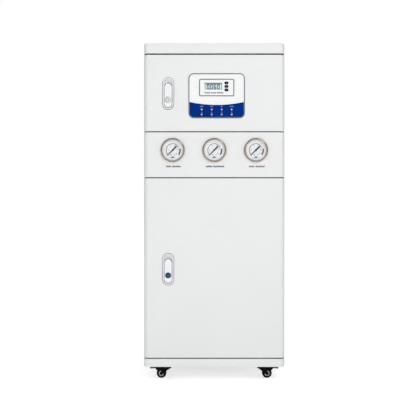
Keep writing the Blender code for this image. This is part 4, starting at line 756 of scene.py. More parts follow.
def key_cylinder(level, axis, ring_material, core_material):
    """The key cylinder: barrel with its stud, core ring and keyway, with a black filler in the slot as
    painted shade.
    """
    low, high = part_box(f"{level}_key_cylinder")
    place = (LOCK_X, low.y, axis[1])
    depth = low.y - high.y
    barrel = lathe([
        (0, depth), (STUD_RADIUS, depth), (STUD_RADIUS, depth + STUD_LENGTH),
        (CYLINDER_RADIUS, depth + STUD_LENGTH), (CYLINDER_RADIUS, -0.0008),
        (CYLINDER_RADIUS - 0.0004, -0.0002), (CYLINDER_RADIUS - 0.0009, 0),
        (0.0056, 0), (0.0053, -0.0005), (0, -0.0005),
    ], MEDIUM, place)

    def key_slot(half_width, half_height, start, end):
        low_corner = (LOCK_X - half_width, axis[1] - half_height)
        high_corner = (LOCK_X + half_width, axis[1] + half_height)
        return prism(rectangle(low_corner, high_corner), "XZ", low.y + start, low.y + end)

    latch = f"{level}_latch"
    slot = key_slot(0.0007, 0.0035, -OVERRUN, 0.003)
    piece(f"{level}_cylinder", barrel, ring_material, latch, (f"{level}_key_cylinder",), [slot])
    core = lathe([(0.0016, -0.0006), (0.0034, -0.0006), (0.0036, -0.0003), (0.0034, -0.0001),
                  (0.0016, -0.0001)], MEDIUM, place, ring=True)
    keyway = key_slot(0.0009, 0.0036, -OVERRUN, OVERRUN)
    piece(f"{level}_core", core, core_material, latch, (), [keyway])
    # Painted shade: a black filler just inside the key slot, standing for the slot's dark depth.
    piece(f"{level}_keyway", key_slot(0.0009, 0.0034, 0.0004, 0.0012), NEEDLE_BLACK_AND_SLOT_SHADE, latch)


def paddle_top_shadow(level, middle):
    """A painted shadow: a dark band round the paddle's top, where its upper edge would be shaded."""
    face = FRONT - PADDLE_PROUD
    end = (LOCK_X, middle[1] + PADDLE_TOP - PADDLE_WIDTH / 2)
    outer, inner = PADDLE_WIDTH / 2 - SHADOW_BAND_INSET, PADDLE_WIDTH / 2 - SHADOW_BAND_INSET - SHADOW_BAND_WIDTH
    # Painted shadow: the dark band stands for the shade along the paddle's upper edge.
    paddle_shadow = arc(end, outer, 8, 172, 32) + arc(end, inner, 172, 8, 32)
    line = prism(paddle_shadow, "XZ", face - LAYER / 2, face + LOCK_EDGE)
    piece(f"{level}_grip", line, PAINTED_SHADOW_DARK, f"{level}_paddle")


def pan_lock(level, ring_material, core_material):
    """One pan lock: the pan, its lift paddle and its key cylinder."""
    middle = (LOCK_X, lock_middle(level))
    axis = (LOCK_X, middle[1] - CYLINDER_DROP)
    pan(level, middle, axis)
    paddle(level, middle, axis)
    key_cylinder(level, axis, ring_material, core_material)
    paddle_top_shadow(level, middle)


pan_lock("upper", NICKEL, NICKEL)
pan_lock("lower", LOCK_BLUE, LOCK_CORE)


# Pressure gauges

def words_mesh(text, size, place, thickness):
    """Plain numerals as a thin raised mesh, centred at the place."""
    curve = bpy.data.curves.new("numerals", "FONT")
    curve.body = text
    curve.size = size
    curve.align_x = "CENTER"
    curve.align_y = "CENTER"
    curve.extrude = thickness / 2
    curve.resolution_u = 3
    obj = bpy.data.objects.new("numerals", curve)
    bpy.context.scene.collection.objects.link(obj)
    data = bpy.data.meshes.new_from_object(obj.evaluated_get(bpy.context.evaluated_depsgraph_get()))
    mesh = bmesh.new()
    mesh.from_mesh(data)
    bpy.data.meshes.remove(data)
    bpy.data.objects.remove(obj)
    bpy.data.curves.remove(curve)
    bmesh.ops.remove_doubles(mesh, verts=mesh.verts[:], dist=LAYER / 50)
    turn = Matrix.Rotation(math.pi / 2, 4, "X")
    mesh.transform(Matrix.Translation(place) @ turn)
    return mesh


def on_dial(x, clockwise, radius):
    """A point on a dial at an angle clockwise from the top."""
    angle = math.radians(clockwise)
    return x + radius * math.sin(angle), GAUGE_Z + radius * math.cos(angle)


def band(x, start, end, inner, outer, steps):
    """A ring sector's outline on a dial, between two clockwise angles."""
    points = []
    for step in range(steps + 1):
        points.append(on_dial(x, start + (end - start) * step / steps, outer))
    for step in range(steps, -1, -1):
        points.append(on_dial(x, start + (end - start) * step / steps, inner))
    return points


def dial_marks(x, level):
    """The scale: arc, ticks and numbers."""
    start = ZERO_DEGREES - 360
    low, high = level - LAYER, level
    meshes = [prism(band(x, start, ARC_END, SCALE_RADIUS, SCALE_RADIUS + 0.0012, 60), "XZ", low, high)]
    for tick in range(TICKS + 1):
        angle = start + SWEEP_DEGREES * tick / TICKS
        major = tick % 10 == 0
        half = 1.5 if major else 0.8
        inner = SCALE_RADIUS - (0.0022 if major else 0.0011)
        outline = band(x, angle - half, angle + half, inner, SCALE_RADIUS, 1)
        meshes.append(prism(outline, "XZ", low - LAYER, high))
    for index in range(6):
        angle = start + SWEEP_DEGREES * index / 5
        px, pz = on_dial(x, angle, SCALE_RADIUS - NUMBER_DROP)
        meshes.append(words_mesh(str(2 * index), NUMBER_SIZE, (px, level - LAYER / 2, pz), LAYER))
    return merged(meshes)


def gauge_case(name, place):
    """The case with its rolled bezel and its spout."""
    rim = BEZEL_REACH - 2 * BEZEL_EDGE
    foot = -CASE_DEPTH - SPOUT_LENGTH
    profile = [
        (0, foot), (SPOUT_RADIUS - 0.0006, foot), (SPOUT_RADIUS, foot + 0.0006), (SPOUT_RADIUS, -CASE_DEPTH),
        (CASE_RADIUS - 0.001, -CASE_DEPTH), (CASE_RADIUS, -CASE_DEPTH + 0.001), (CASE_RADIUS, SEAM),
        (BEZEL_RADIUS - 0.0004, SEAM), (BEZEL_RADIUS, SEAM + 0.0004),
    ]
    profile += arc((BEZEL_RADIUS - BEZEL_ROLL, BEZEL_REACH - BEZEL_ROLL), BEZEL_ROLL, 0, 90, 16)
    profile += arc((BEZEL_LIP + BEZEL_EDGE, BEZEL_REACH - BEZEL_EDGE), BEZEL_EDGE, 90, 180, 4)
    profile += [(BEZEL_LIP, rim), (CASE_BORE, rim), (CASE_BORE, -0.0016), (0, -0.0016)]
    piece(f"{name}_body", lathe(profile, FINE, place), BEZEL, "cabinet", (f"{name}_case",))


def gauge_dial(name, x, place):
    """The dial with its scale, red zone and plain marks."""
    face = lathe([(PIVOT_RADIUS, DIAL_BACK), (DIAL_RADIUS, DIAL_BACK), (DIAL_RADIUS, DIAL_FACE),
                  (PIVOT_RADIUS, DIAL_FACE)], FINE, place, ring=True)
    piece(f"{name}_face", face, DIAL, "cabinet", (f"{name}_dial",))
    level = FRONT - DIAL_FACE - LAYER / 10
    piece(f"{name}_scale", dial_marks(x, level), INK, "cabinet")
    red = prism(band(x, RED_START, RED_END, RED_INNER, RED_OUTER, 24), "XZ", level - LAYER, level)
    piece(f"{name}_red_zone", red, RED_INK, "cabinet")
    foot = GAUGE_Z - 0.0232
    peak = [(x - 0.0058, foot), (x + 0.0058, foot), (x + 0.0058, foot + 0.0014),
            (x + 0.0009, foot + 0.0046), (x - 0.0009, foot + 0.0046), (x - 0.0058, foot + 0.0014)]
    piece(f"{name}_unit_mark", prism(peak, "XZ", level - LAYER, level), TEAL_INK, "cabinet")
    bars = []
    for start, end in ((-0.0064, -0.0026), (0.0036, 0.0070)):
        bar = rounded((x + start, foot + 0.0076), (x + end, foot + 0.0098), 0.0008, 4)
        bars.append(prism(bar, "XZ", level - LAYER, level))
    piece(f"{name}_unit_bars", merged(bars), INK, "cabinet")


def gauge_pane(name, place):
    """The glass, its rims eased."""
    top = BEZEL_REACH - PANE_DROP
    low = top - PANE_THICKNESS
    eased = DIAL_RADIUS - SEAM
    pane = lathe([(0, low), (eased, low), (DIAL_RADIUS, low + SEAM), (DIAL_RADIUS, top - SEAM), (eased, top),
                  (0, top)], FINE, place)
    piece(f"{name}_pane", pane, GLASS, "cabinet", (f"{name}_lens",))


def gauge_needle(name, number, x, place):
    """The pointer: a blade at zero on its hub."""
    hub = lathe([(0, DIAL_BACK), (0.001, DIAL_BACK), (0.001, 0), (0.0026, 0), (0.0028, 0.0003),
                 (0.0028, 0.0024), (0.0023, 0.0030), (0, 0.0031)], SMALL, place)
    outline = list(BLADE) + [(reach, -half) for reach, half in reversed(BLADE)]
    angle = math.radians(ZERO_DEGREES)
    turned_outline = []
    for along, side in outline:
        turned_outline.append((x + along * math.sin(angle) + side * math.cos(angle),
                               GAUGE_Z + along * math.cos(angle) - side * math.sin(angle)))
    needle = prism(turned_outline, "XZ", FRONT - 0.0024, FRONT - 0.0016)
    piece(f"{name}_needle", hub, NEEDLE_BLACK_AND_SLOT_SHADE, f"pointer_{number}", (f"{name}_pointer",),
          joins=[needle], edge=0.00012, segments=2)


def gauge(number):
    """One pressure gauge."""
    x = GAUGE_X[number - 1]
    place = (x, FRONT, GAUGE_Z)
    name = f"gauge_{number}"
    gauge_case(name, place)
    gauge_dial(name, x, place)
    gauge_pane(name, place)
    gauge_needle(name, number, x, place)


for number in (1, 2, 3):
    gauge(number)


# Control unit on the upper door

def plate_outline(inset, radius):
    """The control plate's outline, drawn in."""
    low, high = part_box("control_housing")
    return rounded((low.x + inset, low.z + inset), (high.x - inset, high.z - inset), radius - inset)


def fascia_outline(growth):
    """The blue band's outline: round lower corners and an upper edge that sags in the middle."""
    low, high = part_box("control_housing")
    middle = (low.x + high.x) / 2
    centre_z = (low.z + high.z) / 2
    half = (high.x - low.x) / 2 - FASCIA_INSET + growth
    bottom = low.z + FASCIA_INSET - growth
    radius = FASCIA_RADIUS + growth
    points = arc((middle + radius - half, bottom + radius), radius, 180, 270, CORNER_STEPS)
    points += arc((middle + half - radius, bottom + radius), radius, 270, 360, CORNER_STEPS)
    for step in range(SAG_STEPS + 1):
        across = 1 - 2 * step / SAG_STEPS
        sag = FASCIA_SAG * (1 - across ** 2)
        points.append((middle + across * half, centre_z + growth - FASCIA_SHOULDER_DROP - sag))
    return points


def outline_ring(outer, inner, front, name, material, slot):
    """A line between two outlines: part print, part painted shade for the shadow gap round the edge."""
    line = prism(outer, "XZ", front - LAYER, front + LAYER / 2)
    cutter = prism(inner, "XZ", front - OVERRUN, front + OVERRUN)
    piece(name, line, material, "upper_door", (), [cutter])


def control_plate():
    """The white plate, its border line (print, and painted shade for the edge's shadow gap), and the blue
    fascia in its recess.
    """
    low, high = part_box("control_housing")
    meter_low, meter_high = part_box("display_module")
    face = low.y
    rebate_floor = meter_low.y + METER_PLATE + SEAM
    rebate = rounded((meter_low.x - SEAM, meter_low.z - SEAM), (meter_high.x + SEAM, meter_high.z + SEAM),
                     METER_RADIUS + SEAM)
    cuts = [
        prism(rebate, "XZ", face - OVERRUN, rebate_floor),
        prism(meter_passage(), "XZ", rebate_floor - SEAM, high.y + OVERRUN),
        prism(fascia_outline(SEAM), "XZ", face - OVERRUN, face + FASCIA_THICKNESS + SEAM),
    ]
    body = prism(plate_outline(0, PLATE_RADIUS), "XZ", low.y, high.y)
    piece("control_plate", body, PLATE_WHITE, "upper_door", ("control_housing",), cuts,
          edge=0.0007)
    outline_ring(plate_outline(0.0007, PLATE_RADIUS), plate_outline(0.0007 + PLATE_LINE, PLATE_RADIUS),
                 face, "control_border", LINE_INK_AND_EDGE_SHADE, "white_plastic")

    fascia = prism(fascia_outline(0), "XZ", face + SEAM / 2, face + FASCIA_THICKNESS)
    piece("fascia", fascia, BLUE_FILM, "upper_door", ("indicator_fascia",),
          edge=0.00015, segments=2)


def lamp_places():
    """The indicator lamps' places: four columns in two rows."""
    middle, centre_z = front_middle("control_housing")
    places = []
    for column in range(4):
        for row in range(2):
            places.append((middle + (column - 1.5) * LAMP_PITCH, centre_z - LAMP_DROP - row * LAMP_ROW_PITCH))
    return places


def lamps():
    """The lamps' domes, each in a dark ring."""
    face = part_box("control_housing")[0].y
    domes, rings = [], []
    for x, z in lamp_places():
        place = (x, face, z)
        profile = [(0, -0.0004), (0.0027, -0.0004)] + arc((0, -0.0021), 0.0034, 37, 90, 8)
        profile[-1] = (0, profile[-1][1])
        domes.append(lathe(profile, SMALL, place))
        rings.append(lathe([(0.0028, -0.0004), (0.0035, -0.0004), (0.0035, 0.00015), (0.0028, 0.00025)],
                           SMALL, place, ring=True))
    piece("lamp_domes", merged(domes), LAMP, "upper_door")
    piece("lamp_rings", merged(rings), NAVY, "upper_door")


def digit(x, z, width, height, line, character):
    """One seven-segment digit as rectangles, from its lower left corner."""
    half = height / 2
    gap = line * 0.14
    places = {
        "a": ((gap, height - line), (width - gap, height)),
        "b": ((width - line, half + gap), (width, height - gap)),
        "c": ((width - line, gap), (width, half - gap)),
        "d": ((gap, 0), (width - gap, line)),
        "e": ((0, gap), (line, half - gap)),
        "f": ((0, half + gap), (line, height - gap)),
        "g": ((gap, half - line / 2), (width - gap, half + line / 2)),
    }
    outlines = []
    for segment in SEGMENTS[character]:
        (left, low), (right, high) = places[segment]
        outlines.append(rectangle((x + left, z + low), (x + right, z + high)))
    return outlines


def display():
    """The meter: its plate and case, the liquid crystal behind the window, and its frame line (print, and
    painted shade for the edge's shadow gap).
    """
    low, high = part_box("display_module")
    window_low, window_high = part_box("display_window")
    face = low.y
    case = prism(meter_passage(CASE_PLAY / 2), "XZ", face + METER_PLATE / 2, high.y)
    pocket = rectangle((window_low.x - SEAM, window_low.z - SEAM),
                       (window_high.x + SEAM, window_high.z + SEAM))
    cuts = [prism(pocket, "XZ", face - OVERRUN, window_high.y + SEAM)]
    for key in ("key_up", "key_set", "key_down"):
        key_low, key_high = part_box(key)
        well = rounded((key_low.x - SEAM, key_low.z - SEAM), (key_high.x + SEAM, key_high.z + SEAM),
                       0.0039, 8)
        cuts.append(prism(well, "XZ", face - OVERRUN, face + 0.009))
    plate = prism(rounded((low.x, low.z), (high.x, high.z), METER_RADIUS), "XZ", face, face + METER_PLATE)
    piece("meter", plate, PLATE_WHITE, "upper_door", ("display_module",), cuts, [case],
          edge=0.00035)
    outlines = []
    for inset in (0.0004, 0.0004 + METER_LINE):
        outlines.append(rounded((low.x + inset, low.z + inset), (high.x - inset, high.z - inset),
                                METER_RADIUS - inset))
    outline_ring(*outlines, face, "meter_border", LINE_INK_AND_EDGE_SHADE, "white_plastic")
    liquid_crystal(window_low, window_high)


def liquid_crystal(window_low, window_high):
    """The liquid crystal with a painted shadow along its top and sides, and its digits, behind a clear pane.
    """
    back = window_high.y
    shade_front = back - 0.0004
    panel = rectangle((window_low.x, window_low.z), (window_high.x, window_high.z))
    piece("lcd_panel", prism(panel, "XZ", shade_front, back), LCD, "upper_door",
          ("display_window",))
    # Painted shadow: dark bands along the crystal's top and sides, standing for the shade of the window's
    # recess.
    shade = []
    for outline in (
        rectangle((window_low.x, window_high.z - 0.0042), (window_high.x, window_high.z)),
        rectangle((window_low.x, window_low.z + 0.0008), (window_low.x + 0.0016, window_high.z - 0.0042)),
        rectangle((window_high.x - 0.0016, window_low.z + 0.0008), (window_high.x, window_high.z - 0.0042)),
    ):
        shade.append(prism(outline, "XZ", shade_front - LAYER, shade_front))
    piece("lcd_painted_shadow", merged(shade), LCD_PAINTED_SHADOW, "upper_door")
    digits = []
    width, height, line, step = 0.0078, 0.0146, 0.0026, 0.0102
    start = window_low.x + 0.0058
    base = window_low.z + 0.0014
    for index, character in enumerate("0060"):
        digits += digit(start + index * step, base, width, height, line, character)
    dot = start + width + 0.0004
    digits.append(rectangle((dot, base), (dot + 0.0017, base + 0.0017)))
    meshes = [prism(outline, "XZ", shade_front - LAYER, shade_front) for outline in digits]
    piece("lcd_digits", merged(meshes), SEGMENT, "upper_door")
    pane = prism(panel, "XZ", window_low.y, window_low.y + 0.0006)
    piece("lcd_pane", pane, WINDOW, "upper_door", edge=0.0001, segments=2)


def caption(name, x, z, pattern, size, front, body, material=GREY_INK):
    """A printed line of plain blocks, low (x) and tall (h), in place of words."""
    step, wide = 0.47 * size, 0.36 * size
    start = x - (len(pattern) * step - (step - wide)) / 2
    meshes = []
    for index, mark in enumerate(pattern):
        if mark == " ":
            continue
        left = start + index * step
        top = z + (0.5 if mark == "h" else 0.22) * size
        outline = rounded((left, z - 0.5 * size), (left + wide, top), 0.12 * size, 3)
        meshes.append(prism(outline, "XZ", front - LAYER, front + LAYER / 2))
    piece(name, merged(meshes), material, body)


def keys():
    """Three push keys with plain marks: up, a dot and down."""
    for name, mark in (("key_up", "up"), ("key_set", "dot"), ("key_down", "down")):
        low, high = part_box(name)
        x, z = front_middle(name)
        outline = rounded((low.x, low.z), (high.x, high.z), 0.0038, 10)
        cap = prism(outline, "XZ", low.y, high.y)
        piece(f"{name}_cap", cap, NAVY, name, (name,), edge=0.0007)
        size = 0.0014
        if mark == "dot":
            sign = circle((x, z), size * 0.8, SMALL)
        else:
            way = 1 if mark == "up" else -1
            sign = [(x - size, z - way * size * 0.8), (x + size, z - way * size * 0.8), (x, z + way * size)]
        piece(f"{name}_mark", prism(sign, "XZ", low.y - LAYER / 2, low.y + LAYER), PALE_INK, name)


control_plate()
lamps()
display()
keys()
METER_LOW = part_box("display_module")[0]
caption("meter_caption", METER_LOW.x + 0.0447, METER_LOW.z + 0.0107, METER_CAPTION, 0.0046,
        METER_LOW.y, "upper_door")
for number, pattern in enumerate(GAUGE_CAPTIONS, 1):
    caption(f"gauge_{number}_caption", GAUGE_X[number - 1] + 0.0025, GAUGE_Z - 0.0482, pattern, 0.0058,
            FRONT, "cabinet")
FILM_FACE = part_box("control_housing")[0].y + SEAM / 2
for index, (x, z) in enumerate(lamp_places()):
    column, lower_row = divmod(index, 2)
    pattern, rise, size = ("xhx", 0.0068, 0.0024) if lower_row else (LAMP_CAPTIONS[column], 0.0093, 0.0030)
    caption(f"lamp_caption_{index + 1}", x, z + rise, pattern, size, FILM_FACE, "upper_door", PALE_INK)


# Painted shade: dark strips behind the seams, standing for the shadow in the gaps

def gap_shadow_strip(name, low_z, high_z):
    """A painted shadow: a dark strip behind a seam, round the front and its corners."""
    outlines = []
    for inset in (0.0016, 0.0065):
        outlines.append(tray_plan(FRONT + 0.020, inset)[1:] + [(HALF_WIDTH - inset, FRONT + 0.020)])
    strip = prism(outlines[0] + outlines[1][::-1], "XY", low_z + SEAM, high_z - SEAM)
    piece(name, strip, PAINTED_SHADOW_DARK, "cabinet")


gap_shadow_strip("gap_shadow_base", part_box("base_tray")[1].z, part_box("lower_door")[0].z)
gap_shadow_strip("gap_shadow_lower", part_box("lower_door")[1].z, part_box("gauge_panel")[0].z)
gap_shadow_strip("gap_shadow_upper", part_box("gauge_panel")[1].z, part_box("upper_door")[0].z)
gap_shadow_strip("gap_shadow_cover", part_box("upper_door")[1].z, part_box("top_cover")[0].z)


# Casters

def caster_frame(corner):
    """A caster's side, swivel place, axle height and half the wheel's width."""
    low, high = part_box(f"{corner}_caster_wheel")
    side = 1 if corner.endswith("right") else -1
    swivel = (side * (HALF_WIDTH - CASTER_SIDE), (low.y + high.y) / 2)
    return side, swivel, (low.z + high.z) / 2, (high.y - low.y) / 2


def hood(corner):
    """The fork: hood, cheeks with a round boss, swivel disc, stem, axle ends and the raised rib, coloured
    light grey as a painted highlight round the hub.
    """
    side, (x, y), axle, half = caster_frame(corner)
    body = f"{corner}_fork"
    inner = half + WHEEL_GAP
    outer = inner + CHEEK
    profile = arc((0.002 - FORK_NOSE, FORK_TOP - 0.002), 0.002, 90, 180, 6)
    profile += [(-FORK_NOSE, FORK_ROOF)]
    profile += arc((CASTER_TRAIL, axle), FORK_BOSS, 163, 378, 30)
    profile += [(FORK_HEEL, 0.0215), (FORK_TAIL, PEDAL_LEVEL), (FORK_TAIL, FORK_TOP)]
    profile = [(x + side * along, z) for along, z in profile]
    mesh = prism(profile, "XZ", y - outer, y + outer)
    low_x, high_x = sorted((x - side * (FORK_NOSE + OVERRUN), x + side * (FORK_TAIL + OVERRUN)))
    slot = prism(rectangle((low_x, -OVERRUN), (high_x, FORK_ROOF)), "XZ", y - inner, y + inner)
    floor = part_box("base_tray")[0].z
    disc = lathe([
        (0, 0), (SWIVEL_RADIUS - 0.0008, 0), (SWIVEL_RADIUS, 0.0005), (SWIVEL_RADIUS, 0.0012),
        (SWIVEL_RADIUS - 0.0012, 0.0016), (SWIVEL_RADIUS - 0.0012, 0.0022), (SWIVEL_RADIUS, 0.0026),
        (SWIVEL_RADIUS, floor - SEAM - SWIVEL_FOOT), (STEM_RADIUS, floor - SEAM - SWIVEL_FOOT),
        (STEM_RADIUS, floor - SWIVEL_FOOT + 0.005), (STEM_RADIUS - 0.0005, floor - SWIVEL_FOOT + 0.0055),
        (0, floor - SWIVEL_FOOT + 0.0055),
    ], MEDIUM, (x, y, SWIVEL_FOOT), "up")
    axle_x = x + side * CASTER_TRAIL
    pin = prism(circle((axle_x, axle), 0.003, SMALL), "XZ", y - inner - CHEEK / 2, y + inner + CHEEK / 2)
    joins = [disc, pin]
    if corner.startswith("front"):
        pivot = circle((x + side * PEDAL_REACH, PEDAL_LEVEL), 0.0012, SMALL)
        joins.append(prism(pivot, "XZ", y - inner - CHEEK / 2, y + inner + CHEEK / 2))
    fork = make(f"{corner}_hood", mesh, ENAMEL)
    shape(fork, "DIFFERENCE", [slot])
    soften(fork, 0.0006)
    shape(fork, "UNION", joins)
    soften(fork, 0)
    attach(fork, body)
    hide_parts(f"{corner}_caster_fork")
    fork_trim(corner, axle_x, outer)


def fork_trim(corner, axle_x, outer):
    """The fork's raised ribs, coloured light grey as a painted highlight round the hub, the axle's ends and
    the stem's nut inside the plinth.
    """
    side, (x, y), axle, half = caster_frame(corner)
    body = f"{corner}_fork"
    ribs, ends = [], []
    for way, face in (("front", y - outer), ("rear", y + outer)):
        start, end = (100, 345) if side < 0 else (-165, 80)
        outline = arc((axle_x, axle), 0.0080, start, end, 40)
        outline += arc((axle_x, axle), 0.0052, end, start, 40)
        reach = 0.0005 if way == "rear" else -0.0005
        ribs.append(prism(outline, "XZ", *sorted((face - reach, face + reach))))
        ends.append(lathe([(0, -0.0004), (0.0026, -0.0004), (0.0026, 0.0003), (0.0018, 0.0008), (0, 0.0010)],
                          SMALL, (axle_x, face, axle), way))
    # Painted highlight: the light grey ribs stand for the shine round each hub.
    piece(f"{corner}_rib", merged(ribs), GREY_RING_AND_HIGHLIGHT, body, edge=0.0002, segments=2)
    piece(f"{corner}_axle_ends", merged(ends), ENAMEL, body)
    nut = circle((x, y), 0.0066, 6)
    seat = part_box("base_tray")[0].z + TRAY_WALL + SEAM
    bore = prism(circle((x, y), STEM_RADIUS + LAYER, SMALL), "XY", seat - OVERRUN, seat + 0.006)
    piece(f"{corner}_nut", prism(nut, "XY", seat, seat + 0.0028), ZINC, body, (), [bore],
          edge=0.0003)


def wheel(corner):
    """The wheel: a rounded tread with two grooves, a recessed web with spokes, and the hub."""
    side, (x, y), axle, half = caster_frame(corner)
    radius = axle
    bore = 0.0033
    flank = arc((radius - 0.0018, half - 0.0018), 0.0018, 0, 90, 6)
    flank += [(0.0121, half), (0.0112, half - 0.0022), (0.0066, half - 0.0022), (0.0060, half), (bore, half)]
    groove = [(radius, 0.0030), (radius - 0.0005, 0.0027), (radius - 0.0005, 0.0023), (radius, 0.0020)]
    upper = groove[::-1] + flank
    profile = [(r, -reach) for r, reach in reversed(upper)] + upper
    axle_place = (x + side * CASTER_TRAIL, y, axle)
    spokes = []
    for index in range(8):
        angle = math.tau * (index + 0.5) / 8
        spoke = prism(rectangle((0.0058, -0.0006), (0.0122, 0.0006)), "XZ", -half + 0.0003, half - 0.0003)
        spoke.transform(Matrix.Translation(axle_place) @ Matrix.Rotation(angle, 4, "Y"))
        spokes.append(spoke)
    piece(f"{corner}_tyre", lathe(profile, MEDIUM, axle_place, "front", ring=True), RUBBER,
          f"{corner}_wheel", (f"{corner}_caster_wheel",), (), [merged(spokes)])


def pedal(corner):
    """The brake pedal: its barrel, the grooved plate and the shoe beside the wheel."""
    side, (x, y), axle, half = caster_frame(corner)
    top, bottom = 0.0033, 0.0009
    profile = arc((0.0200, (top + bottom) / 2 - 0.001), 0.0012, -90, 90, 8)
    profile += [(BARREL, top)] + arc((0, 0), BARREL, 90, 180, 10)
    profile += [(-BARREL, -0.0023), (-0.0004, -0.0046), (0.0004, -0.0046), (BARREL, -0.0023),
                (BARREL, bottom)]
    pivot = (x + side * PEDAL_REACH, PEDAL_LEVEL)
    outline = [(pivot[0] + side * along, pivot[1] + z) for along, z in profile]
    width = half + WHEEL_GAP - 0.0005
    cuts = [prism(circle(pivot, 0.0015, SMALL), "XZ", y - width - OVERRUN, y + width + OVERRUN)]
    for index in range(4):
        along = pivot[0] + side * (0.0095 + 0.0024 * index)
        level = pivot[1] + top - 0.00035 - 0.00011 * (index + 3)
        groove = prism(rectangle((along - 0.0005, level), (along + 0.0005, level + 0.003)), "XZ",
                       y - width + 0.0014, y + width - 0.0014)
        cuts.append(groove)
    piece(f"{corner}_pedal_plate", prism(outline, "XZ", y - width, y + width), BLACK, f"{corner}_pedal",
          (f"{corner}_brake_pedal",), cuts, edge=0.0004)


for corner in ("front_left", "front_right", "rear_left", "rear_right"):
    hood(corner)
    wheel(corner)
    if corner.startswith("front"):
        pedal(corner)


# Rear panel and services

def screws(name, places, way, radius, body, material=STEEL):
    """Pan head screws with a cross recess, each turned a little differently."""
    height = radius * 0.55
    profile = [(0, -height / 2), (radius, -height / 2), (radius, height * 0.2)]
    profile += [(radius * 0.82, height * 0.72), (radius * 0.45, height * 0.96), (0, height)]
    head = make("head", lathe(profile, SMALL, (0, 0, 0), "up"), material)
    long, thin = radius * 0.56, radius * 0.13
    arms = [prism(rectangle((-long, -thin), (long, thin)), "XY", height * 0.35, height * 2),
            prism(rectangle((-thin, -long), (thin, long)), "XY", height * 0.34, height * 2)]
    shape(head, "DIFFERENCE", arms)
    angle, axis = TURNS[way]
    heads = []
    for index, place in enumerate(places):
        mesh = bmesh.new()
        mesh.from_mesh(head.data)
        twist = Matrix.Rotation(math.radians(41 * index + 12), 4, "Z")
        mesh.transform(Matrix.Translation(place) @ Matrix.Rotation(angle, 4, axis) @ twist)
        heads.append(mesh)
    bpy.data.objects.remove(head)
    piece(name, merged(heads), material, body)


PORT_BLOCK_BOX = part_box("water_port_block")
PORT_MIDDLE, PORT_Z = front_middle("water_port_block")
PORT_X = [PORT_MIDDLE + (k - 1.5) * PORT_PITCH for k in range(4)]
INLET_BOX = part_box("power_inlet")
INLET_MIDDLE = front_middle("power_inlet")
INLET_BACK = INLET_BOX[1].y
ROCKER_Z = INLET_MIDDLE[1] - 0.014


def rear_sheet():
    """The rear sheet with round-ended vents and the holes for the services."""
    low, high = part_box("rear_panel")
    holes = []
    for middle in VENT_HEIGHTS:
        for column in (-1, 0, 1):
            for row in range(5):
                vent = about((column * VENT_PITCH[0], middle + (row - 2) * VENT_PITCH[1]), VENT_HALF)
                holes.append(prism(rounded(*vent, VENT_RADIUS, 6), "XZ", low.y - OVERRUN, high.y + OVERRUN))
    for x in PORT_X:
        holes.append(prism(circle((x, PORT_Z), 0.0053, SMALL), "XZ", low.y - OVERRUN, high.y + OVERRUN))
    opening = rectangle(*about(INLET_MIDDLE, (INLET_HALF[0] + SEAM, INLET_HALF[1] + SEAM)))
    holes.append(prism(opening, "XZ", low.y - OVERRUN, high.y + OVERRUN))
    outline = rounded((low.x, low.z), (high.x, high.z), 0.002, 5)
    piece("rear_sheet", prism(outline, "XZ", low.y, high.y), WHITE, "cabinet", ("rear_panel",),
          [merged(holes)], edge=0.0003, segments=2)
    places = []
    for z in SCREW_HEIGHTS:
        places += [(-SCREW_X, high.y, z), (SCREW_X, high.y, z)]
    screws("rear_screws", places, "rear", 0.0034, "cabinet")


def water_ports():
    """The port block with four barbed spigots, its screws and a coloured ring round each collar."""
    low, high = PORT_BLOCK_BOX
    start = REAR + SEAM
    plate = prism(rounded((low.x, low.z), (high.x, high.z), 0.004, 8), "XZ", start, start + 0.004)
    profile = [(0, -0.012), (0.0046, -0.012), (0.005, -0.0116), (0.005, 0.002), (0.009, 0.002),
               (0.009, 0.0094), (0.0084, 0.010), (0.0043, 0.010)]
    for index in range(3):
        reach = 0.0110 + 0.0045 * index
        profile += [(0.0042, reach), (0.0055, reach + 0.0004), (0.0055, reach + 0.0009),
                    (0.0043, reach + 0.0044)]
    profile = [pair for pair in profile if pair[1] < 0.0245] + [(0.0041, 0.0247), (0.0038, 0.025), (0, 0.025)]
    ports, bores, rings = [], [], []
    for index, x in enumerate(PORT_X):
        ports.append(lathe(profile, MEDIUM, (x, REAR, PORT_Z), "rear"))
        bores.append(prism(circle((x, PORT_Z), 0.002, SMALL), "XZ", REAR + 0.004, REAR + 0.027))
        rings.append(lathe([(0.0085, 0.0052), (0.00925, 0.0052), (0.00925, 0.0072), (0.0085, 0.0072)], MEDIUM,
                           (x, REAR, PORT_Z), "rear", ring=True))
    piece("port_plate", plate, BLACK, "cabinet", ("water_port_block",), [merged(bores)],
          [merged(ports)], edge=0.0005, segments=2)
    piece("port_rings_cold", merged([rings[0], rings[2]]), TUBE_BLUE, "cabinet")
    piece("port_rings_drain", merged([rings[1], rings[3]]), GREY_RING_AND_HIGHLIGHT, "cabinet")
    places = [(x, start + 0.004, z) for x in (low.x + 0.0075, high.x - 0.0075)
              for z in (low.z + 0.006, high.z - 0.006)]
    screws("port_screws", places, "rear", 0.0029, "cabinet")


